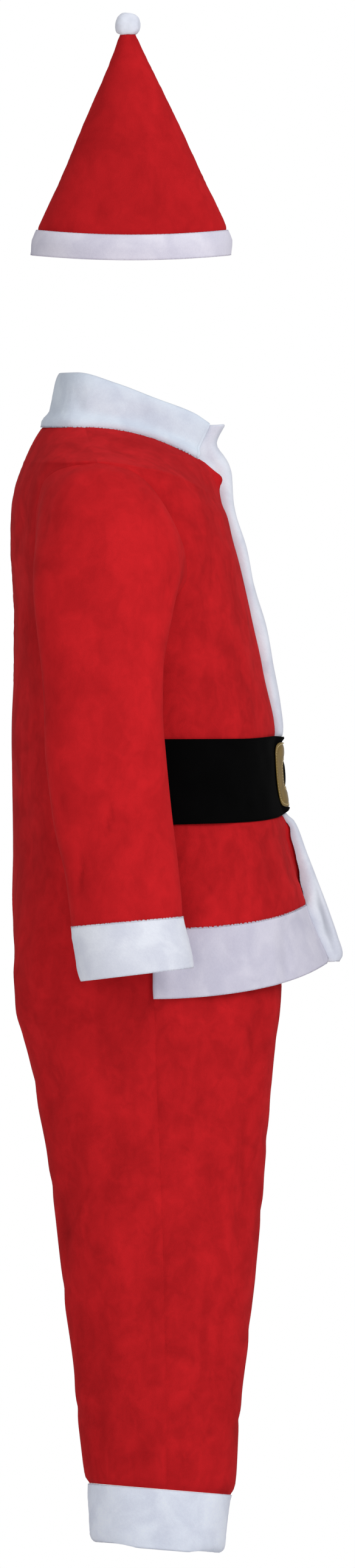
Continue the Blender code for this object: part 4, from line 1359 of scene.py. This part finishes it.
class ClothSizes(PropertyGroup):
    """Walls of the cloths, the depth of their creases and seams, and their pile."""

    velour_wall: metres("Velour wall", "Thickness of the red velour", 0.0025, 0.001)
    plush_wall: metres("Plush wall", "Thickness of the white plush, folded double", 0.0035, 0.001)
    belt_wall: metres("Belt wall", "Thickness of the black plush belt", BELT_WALL, 0.001)
    vinyl_wall: metres("Vinyl wall", "Thickness of the gold vinyl buckle", 0.0015, 0.0005)
    crease_gain: factor("Crease gain", "Depth of the small creases, 1 as worn", 1.0, max=2.0)
    wave_depth: metres("Wave depth", "Depth of the slow waves in the cloth", 0.0014)
    seam_depth: metres("Seam depth", "How far a seam draws the cloth in", 0.0011)
    seam_width: metres("Seam width", "Distance from a seam where its groove fades", 0.0034, 0.001)
    pile_length: metres("Pile length", "Longest fibres along the plush edges", 0.0028)
    pile_spacing: metres("Pile spacing", "Mean distance between two fibres of an edge", 0.00013, 0.0001)


class ClothColours(PropertyGroup):
    """Colours of the cloths, the buckle, its thread and the floor."""

    red: rgb("Velour red", "Colour of the red velour", (0.52, 0.012, 0.016))
    white: rgb("Plush white", "Colour of the trims", (0.84, 0.87, 0.95))
    shade: rgb("Plush shade", "Colour between the fibres of the trims", (0.655, 0.68, 0.79))
    black: rgb("Belt black", "Colour of the belt", (0.0010, 0.0010, 0.0011))
    gold: rgb("Buckle gold", "Colour of the gold vinyl", (0.225, 0.135, 0.012))
    thread: rgb("Thread gold", "Colour of the stitching on the buckle", (0.70, 0.55, 0.26))
    floor: rgb("Floor", "Colour of the floor", (0.90, 0.90, 0.90))


class StageSettings(PropertyGroup):
    """The camera's frame, the floor and the lights."""

    frame_height: metres("Frame height", "Height that the camera's frame takes in", 1.9578, 0.1)
    middle: FloatVectorProperty(
        name="Frame middle", description="Point in the middle of the camera's frame",
        subtype="XYZ", size=3, default=(0.0, -0.0699, -0.4469))
    distance: metres("Camera distance", "From the suit to the camera, on its right", 6.0, 1.0)
    floor_drop: metres("Floor drop", "From the lowest hem down to the floor", 0.0170)
    key: watts("Key light", "Power of the large light in front of the suit", 80.0)
    fill: watts("Fill light", "Power of the light on its right", 26.0)
    top: watts("Top light", "Power of the light over the suit", 20.0)
    sky: factor("Sky", "Strength of the even white light from all round", 0.36)


class SuitSettings(PropertyGroup):
    """All settings of the santa suit."""

    sizes: PointerProperty(type=ClothSizes)
    colours: PointerProperty(type=ClothColours)
    stage: PointerProperty(type=StageSettings)


def velour(context, name, shift, dark=0.74, light=1.20):
    """The two materials of a velour piece: its face and its knitted wrong side."""
    red = tuple(context.scene.santa_suit.colours.red)
    return [velour_look(f"{name}_velour", red, shift, dark, light), knit_look(f"{name}_knit", red)]


def plush(context, name, gain=1.0):
    """The material of a white trim, all of it brighter or darker by a gain."""
    colours = context.scene.santa_suit.colours
    return plush_look(f"{name}_plush", tint(colours.white, gain), tint(colours.shade, gain), 0.08, 0.55)


def put(piece, node, trims=()):
    """Put a finished piece and its trims in its node's place on the suit."""
    for part in (piece, *trims):
        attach(part, "root")
    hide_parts(node)


def dress(piece, node, trims=()):
    """Put a piece of cloth and its trims in its node's place."""
    put(piece, node, trims)


def aim(thing, place, target):
    """Put a light or a camera at a place, upright, and point it at a target."""
    away = np.array(target, float) - np.array(place, float)
    thing.location = place
    thing.rotation_euler = (math.atan2(math.hypot(away[0], away[1]), -away[2]), 0.0,
                            math.atan2(away[1], away[0]) - math.pi / 2)
    bpy.context.scene.collection.objects.link(thing)


def velour_pair(context, name, build, looks, cut, area, **options):
    """A right piece, and a left one that mirrors it but for small creases of its own."""
    for side, seed in (("right", 0), ("left", 1)):
        outer, inner, painted_shade = build(seed, context.scene.santa_suit.sizes)
        if side == "left":
            outer, inner, painted_shade = mirrored(outer), mirrored(inner), painted_shade[:, ::-1]
        piece = shell(f"{name}_{side}_cloth", outer, inner, looks, crease_shade=painted_shade, **options)
        dress(piece, f"{name}_{side}")


def trim_pair(context, name, points, normals, rims, seeds, cut, ring=False, gain=1.0, fringe=1.0,
              **band):
    """The right and left plush bands from the right one's base points, with their edge pile."""
    sizes, look = context.scene.santa_suit.sizes, plush(context, name, gain)
    for side, seed in zip(("right", "left"), seeds):
        outer, inner, painted_shade = plush_band(points, normals, seed, sizes, rims, **band)
        out = normals
        if side == "left":
            outer, inner, out = mirrored(outer), mirrored(inner), mirrored(normals)
            painted_shade = painted_shade[:, ::-1]
        piece = shell(f"{name}_{side}_plush", outer, inner, [look], ring=ring, crease_shade=painted_shade)
        fibres = rim_piles(f"{name}_{side}", outer, out, look, sizes, seed + 5,
                           (1.15 * fringe, 0.6 * fringe), ring)
        dress(piece, f"{name}_{side}", trims=fibres)


class SANTA_OT_stage(Operator):
    """Make the pale floor, the soft lights, the even sky and the camera on the suit's right."""

    bl_idname = "santa.stage"
    bl_label = "Stage"

    def execute(self, context):
        settings, colours = context.scene.santa_suit.stage, context.scene.santa_suit.colours
        middle, low = np.array(settings.middle), CAD_BOX[0][2] - settings.floor_drop
        radius, turn = grid([0.001, 1.5, 3.5, 6.0], turns(64))
        points = xyz(radius * np.cos(turn), radius * np.sin(turn), low)
        ids = np.arange(points[..., 0].size).reshape(turn.shape)
        faces = quads(np.concatenate([ids, ids[:, :1]], axis=1))
        paint = floor_look("floor_paint", colours.floor)
        new_mesh("floor", points, faces, [paint])

        for name, power, away, size in (("key", settings.key, (-2.6, -2.4, 2.3), 2.4),
                                        ("fill", settings.fill, (-3.4, 1.2, 0.2), 2.2),
                                        ("top", settings.top, (0.4, 0.3, 3.0), 2.4)):
            lamp = bpy.data.lights.new(f"{name}_light", "AREA")
            lamp.energy, lamp.size = power, size
            aim(bpy.data.objects.new(f"{name}_light", lamp), np.array(away) + middle, middle)

        world = bpy.data.worlds.new("studio")
        world.use_nodes = True
        nodes, links = world.node_tree.nodes, world.node_tree.links
        sky, seen = nodes["Background"], nodes.new("ShaderNodeBackground")
        path, both = nodes.new("ShaderNodeLightPath"), nodes.new("ShaderNodeMixShader")
        for white in (sky, seen):
            white.inputs["Color"].default_value = (1.0, 1.0, 1.0, 1.0)
        sky.inputs["Strength"].default_value = settings.sky
        links.new(path.outputs["Is Camera Ray"], both.inputs[0])
        links.new(sky.outputs[0], both.inputs[1])
        links.new(seen.outputs[0], both.inputs[2])
        links.new(both.outputs[0], nodes["World Output"].inputs["Surface"])
        context.scene.world = world

        lens = bpy.data.cameras.new("camera")
        lens.type, lens.ortho_scale, lens.clip_end = "ORTHO", settings.frame_height, 40.0
        context.scene.camera = bpy.data.objects.new("camera", lens)
        aim(context.scene.camera, middle - [settings.distance, 0, 0], middle)
        context.scene.view_settings.view_transform = "Standard"
        return {"FINISHED"}


class SANTA_OT_backs(Operator):
    """Make the two back pieces, which run from the collar down to the trouser cuffs."""

    bl_idname = "santa.backs"
    bl_label = "Backs"

    def execute(self, context):
        velour_pair(context, "back", back_cloth, velour(context, "back", 0.0), (0.44, 1.37), 0.44)
        return {"FINISHED"}


class SANTA_OT_jacket_fronts(Operator):
    """Make the two fronts of the mock jacket, down to the seam of their hem bands."""

    bl_idname = "santa.jacket_fronts"
    bl_label = "Jacket fronts"

    def execute(self, context):
        looks = velour(context, "jacket", 0.3)
        velour_pair(context, "jacket_front", jacket_cloth, looks, (0.34, 0.66), 0.18)
        return {"FINISHED"}


class SANTA_OT_trouser_fronts(Operator):
    """Make the two trouser fronts, from the waist under the jacket down to the cuffs."""

    bl_idname = "santa.trouser_fronts"
    bl_label = "Trouser fronts"

    def execute(self, context):
        looks = velour(context, "trouser", 0.6)
        velour_pair(context, "trouser_front", trouser_cloth, looks, (0.38, 0.86), 0.29)
        return {"FINISHED"}


class SANTA_OT_sleeves(Operator):
    """Make the two sleeves, each one piece of velour closed by a seam under the arm."""

    bl_idname = "santa.sleeves"
    bl_label = "Sleeves"

    def execute(self, context):
        # Painted light: the sleeves' velour is a lighter copy of the same red.
        looks = velour(context, "sleeve", 0.9, 0.85, 1.21)
        velour_pair(context, "sleeve", sleeve_cloth, looks, (0.46, 0.64), 0.215, ring=True)
        return {"FINISHED"}


class SANTA_OT_hem_bands(Operator):
    """Make the two plush bands round the hem of the jacket fronts."""

    bl_idname = "santa.hem_bands"
    bl_label = "Hem bands"

    def execute(self, context):
        levels = levels_between(HEM_SEAM + SEAM_LAP, HEM, step=PLUSH_STEP)
        angle = spread(np.full(len(levels), math.pi / 2), edge_angle(levels, BAND_HALF - 0.001),
                       fractions(0.26, PLUSH_STEP))
        z = np.broadcast_to(levels[:, None], angle.shape)
        points, normals = on_form(worn_jacket, z, angle)
        from_band = from_edge(points, "right")
        low = (HEM_SEAM - z) / (HEM_SEAM - HEM)
        lifted = 0.003 * ease(1 - from_band / 0.020) + 0.004 * ease(1 - from_band / 0.008)
        points[..., 2] += lifted * low ** 3
        # Painted shade and a painted pink reflection of the red: the hem's plush is a darker, pinker
        # copy of the white, as it faces down, and a painted shade runs along its edge beside the front
        # band.
        trim_pair(context, "hem_band", points, normals, "left top bottom", (3, 4), (0.27, 0.10),
                  gain=(0.87, 0.82, 0.865), creases=HEM_CREASES, shade=1.1 * bell(from_band, 0.006))
        return {"FINISHED"}


class SANTA_OT_trouser_cuffs(Operator):
    """Make the two plush cuffs at the ends of the legs, curled in at their front and back folds.

    The curl follows a quarter circle over the last of the height, eased round to the sides.
    """

    bl_idname = "santa.trouser_cuffs"
    bl_label = "Trouser cuffs"

    def execute(self, context):
        levels = levels_between(LEG_END - SEAM_GAP, CUFF_END, step=PLUSH_STEP)
        z, angle = grid(levels, turns(120))
        points = body(z, angle)
        curl = CUFF_CURL * (1 - np.sqrt(1 - np.clip(1 - (z - CUFF_END) / CUFF_CURL, 0, 1) ** 2))
        points[..., 1] -= curl * np.sign(np.cos(angle)) * ease((np.abs(np.cos(angle)) - 0.35) / 0.5)
        normals = -grid_normal(points, ring=True)
        trim_pair(context, "trouser_cuff", points, normals, "top bottom", (6, 7), (0.48, 0.09),
                  ring=True, gain=(1.05, 1.09, 1.11), fringe=0.45, proud=-0.0026)
        return {"FINISHED"}


class SANTA_OT_sleeve_cuffs(Operator):
    """Make the two plush cuffs at the ends of the sleeves."""

    bl_idname = "santa.sleeve_cuffs"
    bl_label = "Sleeve cuffs"

    def execute(self, context):
        points = sleeve_rings(SEAM_LAP / 0.07 - CUFF_RING - fractions(0.073, PLUSH_STEP))
        normals = grid_normal(points, ring=True)
        trim_pair(context, "sleeve_cuff", points, normals, "top bottom", (8, 9), (0.34, 0.085),
                  ring=True)
        return {"FINISHED"}


class SANTA_OT_collar(Operator):
    """Make the plush stand collar, open at the front, with a turned edge at both of its ends."""

    bl_idname = "santa.collar"
    bl_label = "Collar"

    def execute(self, context):
        sizes, look = context.scene.santa_suit.sizes, plush(context, "collar", (0.92, 0.98, 1.0))
        places = 2 * fractions(0.62, 0.006) - 1
        points, normals = collar_grid(places, 1 - fractions(0.075, PLUSH_STEP))
        # Depth of the collar's creases, which presses it in and also sets its painted shade.
        crease_shade = crease_depth(points, COLLAR_CREASES, "y", 15)
        ends = from_edge(points, "left right")
        turned = COLLAR_TURNING * bell(ends - 0.0048, 0.0011)
        points = points - (crease_shade + turned)[..., None] * normals
        outer, inner, painted_shade = plush_band(points, normals, 14, sizes, "left right top bottom",
                                        proud=0.0002)
        # Painted shade in the groove of the turned edges and in the creases.
        painted_shade = painted_shade + 0.5 * turned / COLLAR_TURNING + crease_shade / 0.005
        piece = shell("collar_plush", outer, inner, [look], crease_shade=painted_shade)
        fibres = rim_pile("collar_pile", outer, normals, look, sizes, -1, 16, closed=False)
        dress(piece, "collar", trims=[fibres])
        return {"FINISHED"}


class SANTA_OT_front_band(Operator):
    """Make the plush band down the middle of the front, from the neck to the jacket's hem."""

    bl_idname = "santa.front_band"
    bl_label = "Front band"

    def execute(self, context):
        sizes, look = context.scene.santa_suit.sizes, plush(context, "front_band")
        levels = levels_between(*FRONT_BAND["z"][[0, -1]], step=PLUSH_STEP)
        z, across = grid(levels, np.linspace(-1, 1, 61))
        points = band_profile(z, across)
        normals = -grid_normal(points)
        away = from_edge(points, "top bottom")
        wavy = sizes.wave_depth * 0.5 * ripple(points * [1, 1, 0.6], 0.06, 33) * ease(away / 0.02)
        facing = ease((np.abs(normals[..., 0]) - 0.2) / 0.4)
        valley = crease_depth(points, BAND_CREASES, "y", 34) * facing
        lowered = points - (wavy + valley)[..., None] * normals
        outer, inner = rounded(lowered, normals, sizes.plush_wall, away)
        inner[..., 1] = np.minimum(inner[..., 1], points[:, :1, 1] + 0.001)
        # Painted shade beside both edges of the band, more of it low on the skirt, and in its valley.
        beside = bell(from_edge(points, "left right"), 0.004)
        painted_shade = (0.55 + 0.65 * ease((-0.60 - z) / 0.03)) * beside + valley / 0.004
        piece = shell("front_band_plush", outer, inner, [look], crease_shade=painted_shade)
        fibres = []
        for name, column, way in (("right", 0, -1.0), ("left", -1, 1.0)):
            over, out = (np.tile([way * x, y, 0.0], (len(points), 1)) for x, y in ((1, 0), (0.4, -1)))
            fibres.append(pile(f"front_band_pile_{name}", outer[:, column], over, out, look,
                               sizes.pile_length * 0.6, sizes.pile_spacing, 70 + column))
        fibres.append(rim_pile("front_band_pile_end", outer, normals, look, sizes, -1, 73, 0.6, False))
        dress(piece, "front_band", trims=fibres)
        return {"FINISHED"}


class SANTA_OT_belt(Operator):
    """Make the black plush belt, from side seam to side seam over the front.

    It puffs out through the hole of the buckle: the root of a parabola across times one down.
    """

    bl_idname = "santa.belt"
    bl_label = "Belt"

    def execute(self, context):
        sizes, black = context.scene.santa_suit.sizes, tuple(context.scene.santa_suit.colours.black)
        look = plush_look("belt_plush", black, tint(black, 0.3), 0.0, 0.5)
        half = float(read(BODY, "half", BUCKLE_MIDDLE)) - 0.0002
        near = np.linspace(0, BELT_RAMP, 20)
        round_side = half * np.sin(np.linspace(math.asin(BELT_RAMP / half), math.pi / 2, 44)[1:])
        across = np.concatenate([near, round_side])
        down, x = grid(fractions(BELT_DEPTH, PLUSH_STEP), np.concatenate([-across[:0:-1], across]))
        points, normals = belt_points(x, down)
        away = from_edge(points, "left right top bottom")
        puff = (np.clip(1 - (x / HOLE_HALF_WIDTH) ** 2, 0, 1)
                * np.clip(1 - ((down - 0.5) * BELT_DEPTH / HOLE_HALF_HEIGHT) ** 2, 0, 1)) ** 0.5
        uneven = 0.0004 * ripple(points, 0.03, 44) * ease(away / 0.01) + BELT_PUFF * puff
        outer, inner = rounded(points + uneven[..., None] * normals, normals, sizes.belt_wall, away)
        # Painted shade along the belt's rims.
        piece = shell("belt_plush", outer, inner, [look], crease_shade=0.2 * bell(away, 0.002))
        fibres = rim_piles("belt", outer, normals, look, sizes, 80, (0.45, 0.45), closed=False)
        dress(piece, "belt", trims=fibres)
        return {"FINISHED"}


class SANTA_OT_buckle(Operator):
    """Make the gold vinyl buckle, sewn flat on the belt round its rim and round its hole."""

    bl_idname = "santa.buckle"
    bl_label = "Buckle"

    def execute(self, context):
        wall, colours = context.scene.santa_suit.sizes.vinyl_wall, context.scene.santa_suit.colours
        out, turn = grid(1 - fractions(0.028, 0.002, fine=(0.0003, 0.0007, 0.0012)), turns(160))
        points, normals = belt_points(*buckle_outline(out, turn))
        away = from_edge(points, "top bottom")
        pressed = 0.0007 * bell(away - STITCHES_IN, 0.0009)
        swell = 0.0008 * ease((away - STITCHES_IN) / 0.006)
        top = points + (BUCKLE_CLEAR + wall + swell - pressed)[..., None] * normals
        outer, inner = rounded(top, normals, wall, away)
        vinyl = vinyl_look("buckle_vinyl", tuple(colours.gold))
        piece = shell("buckle_vinyl", outer, inner, [vinyl], ring=True)
        thread = thread_look("buckle_thread", tuple(colours.thread))
        off = np.abs(away[:, 0] - STITCHES_IN)
        half = len(off) // 2
        rows = {"rim": off[:half].argmin(), "hole": -1 - off[::-1][:half].argmin()}
        threads = [stitches(f"buckle_stitches_{name}", outer[row], normals[row], thread)
                   for name, row in rows.items()]
        dress(piece, "buckle",
              trims=threads)
        return {"FINISHED"}


class SANTA_OT_cap(Operator):
    """Make the cap without its pompom: its velour cone of two pieces and its plush band."""

    bl_idname = "santa.cap"
    bl_label = "Cap"

    def execute(self, context):
        sizes = context.scene.santa_suit.sizes
        half_turn = math.pi * fractions(0.27, 0.006)[:-1]
        around = np.concatenate([half_turn, half_turn + math.pi])
        z, turn = grid(levels_between(CAP_TOP, CAP_SEAM), around)
        outer, inner, painted_shade = velour_wall(*on_form(cap_points, z, turn), 5, sizes, side=CAP_CREASES,
                                         seams="bottom", columns=[0, len(half_turn)])
        inner[0] = outer[0] * [0.55, 0.55, 1] + [0, -0.0033, -sizes.velour_wall]
        looks = velour(context, "cap", 1.2, 0.77, 1.08)
        cone = shell("cap_cone_cloth", outer, inner, looks, ring=True, cap=True, crease_shade=painted_shade)
        dress(cone, "cap_cone")

        look = plush(context, "cap_band", (0.95, 0.89, 0.92))
        levels = levels_between(CAP_SEAM - SEAM_GAP, CAP["z"][-1], step=PLUSH_STEP)
        z, turn = grid(levels, turns(120))
        points, normals = on_form(cap_points, z, turn)
        outer, inner, painted_shade = plush_band(points, normals, 17, sizes, "top bottom")
        band = shell("cap_band_plush", outer, inner, [look], ring=True, crease_shade=painted_shade)
        fibres = rim_piles("cap_band", outer, normals, look, sizes, 90, (0.6, 0.6))
        dress(band, "cap_band", trims=fibres)
        return {"FINISHED"}


class SANTA_OT_pompom(Operator):
    """Make the stuffed plush pompom on the point of the cap."""

    bl_idname = "santa.pompom"
    bl_label = "Pompom"

    def execute(self, context):
        sizes, look = context.scene.santa_suit.sizes, plush(context, "pompom")
        polar, turn = grid(np.radians(np.linspace(3, 177, 48)), turns(72))
        way = ball_way(polar, turn)
        points = ball_point(way)
        ids = np.arange(polar.size).reshape(polar.shape)
        ladders = [strip(row[71:35:-1], row[:36]) for row in (ids[0], ids[-1])]
        faces = np.concatenate([quads(np.concatenate([ids, ids[:, :1]], axis=1)), ladders[0],
                                ladders[1][:, ::-1]])
        # Painted shade in the hollows between the lumps.
        painted_shade = 0.25 * np.clip(-ripple(way, 1.1, 62), 0, 1).ravel()
        piece = new_mesh("pompom_plush", points, faces, [look], crease_shade=painted_shade, sharp=180)
        run = np.linspace(0, 1, 1200)
        spiral = ball_way(np.arccos(-0.84 - 0.14 * run), 2 * math.pi * 10 * run)
        twist = np.cross(spiral, [0.3, 0.5, 0.8])
        fibres = pile("pompom_pile", ball_point(spiral), spiral + 0.5 * unit(twist), unit(twist), look,
                      sizes.pile_length * 0.5, sizes.pile_spacing * 1.5, 66)
        put(piece, "cap_pompom", [fibres])
        return {"FINISHED"}


class SANTA_PT_suit(Panel):
    """Settings of the santa suit and the button of each of its pieces."""

    bl_label = "Santa Suit"
    bl_idname = "SANTA_PT_suit"
    bl_space_type = "VIEW_3D"
    bl_region_type = "UI"
    bl_category = "Santa Suit"

    def draw(self, context):
        settings = context.scene.santa_suit
        for group in (settings.sizes, settings.colours, settings.stage):
            box = self.layout.box()
            for name in group.bl_rna.properties.keys():
                if name not in {"rna_type", "name"}:
                    box.prop(group, name)
        for operator in OPERATORS:
            self.layout.operator(operator.bl_idname)


OPERATORS = (SANTA_OT_stage, SANTA_OT_backs, SANTA_OT_jacket_fronts, SANTA_OT_trouser_fronts,
             SANTA_OT_sleeves, SANTA_OT_hem_bands, SANTA_OT_trouser_cuffs, SANTA_OT_sleeve_cuffs,
             SANTA_OT_collar, SANTA_OT_front_band, SANTA_OT_belt, SANTA_OT_buckle, SANTA_OT_cap,
             SANTA_OT_pompom)
CLASSES = (ClothSizes, ClothColours, StageSettings, SuitSettings, *OPERATORS, SANTA_PT_suit)


def register():
    for made in CLASSES:
        bpy.utils.register_class(made)
    bpy.types.Scene.santa_suit = PointerProperty(type=SuitSettings)


def unregister():
    del bpy.types.Scene.santa_suit
    for made in reversed(CLASSES):
        bpy.utils.unregister_class(made)


def main():
    register()
    for operator in OPERATORS:
        family, name = operator.bl_idname.split(".")
        getattr(getattr(bpy.ops, family), name)()


if __name__ == "__main__":
    main()
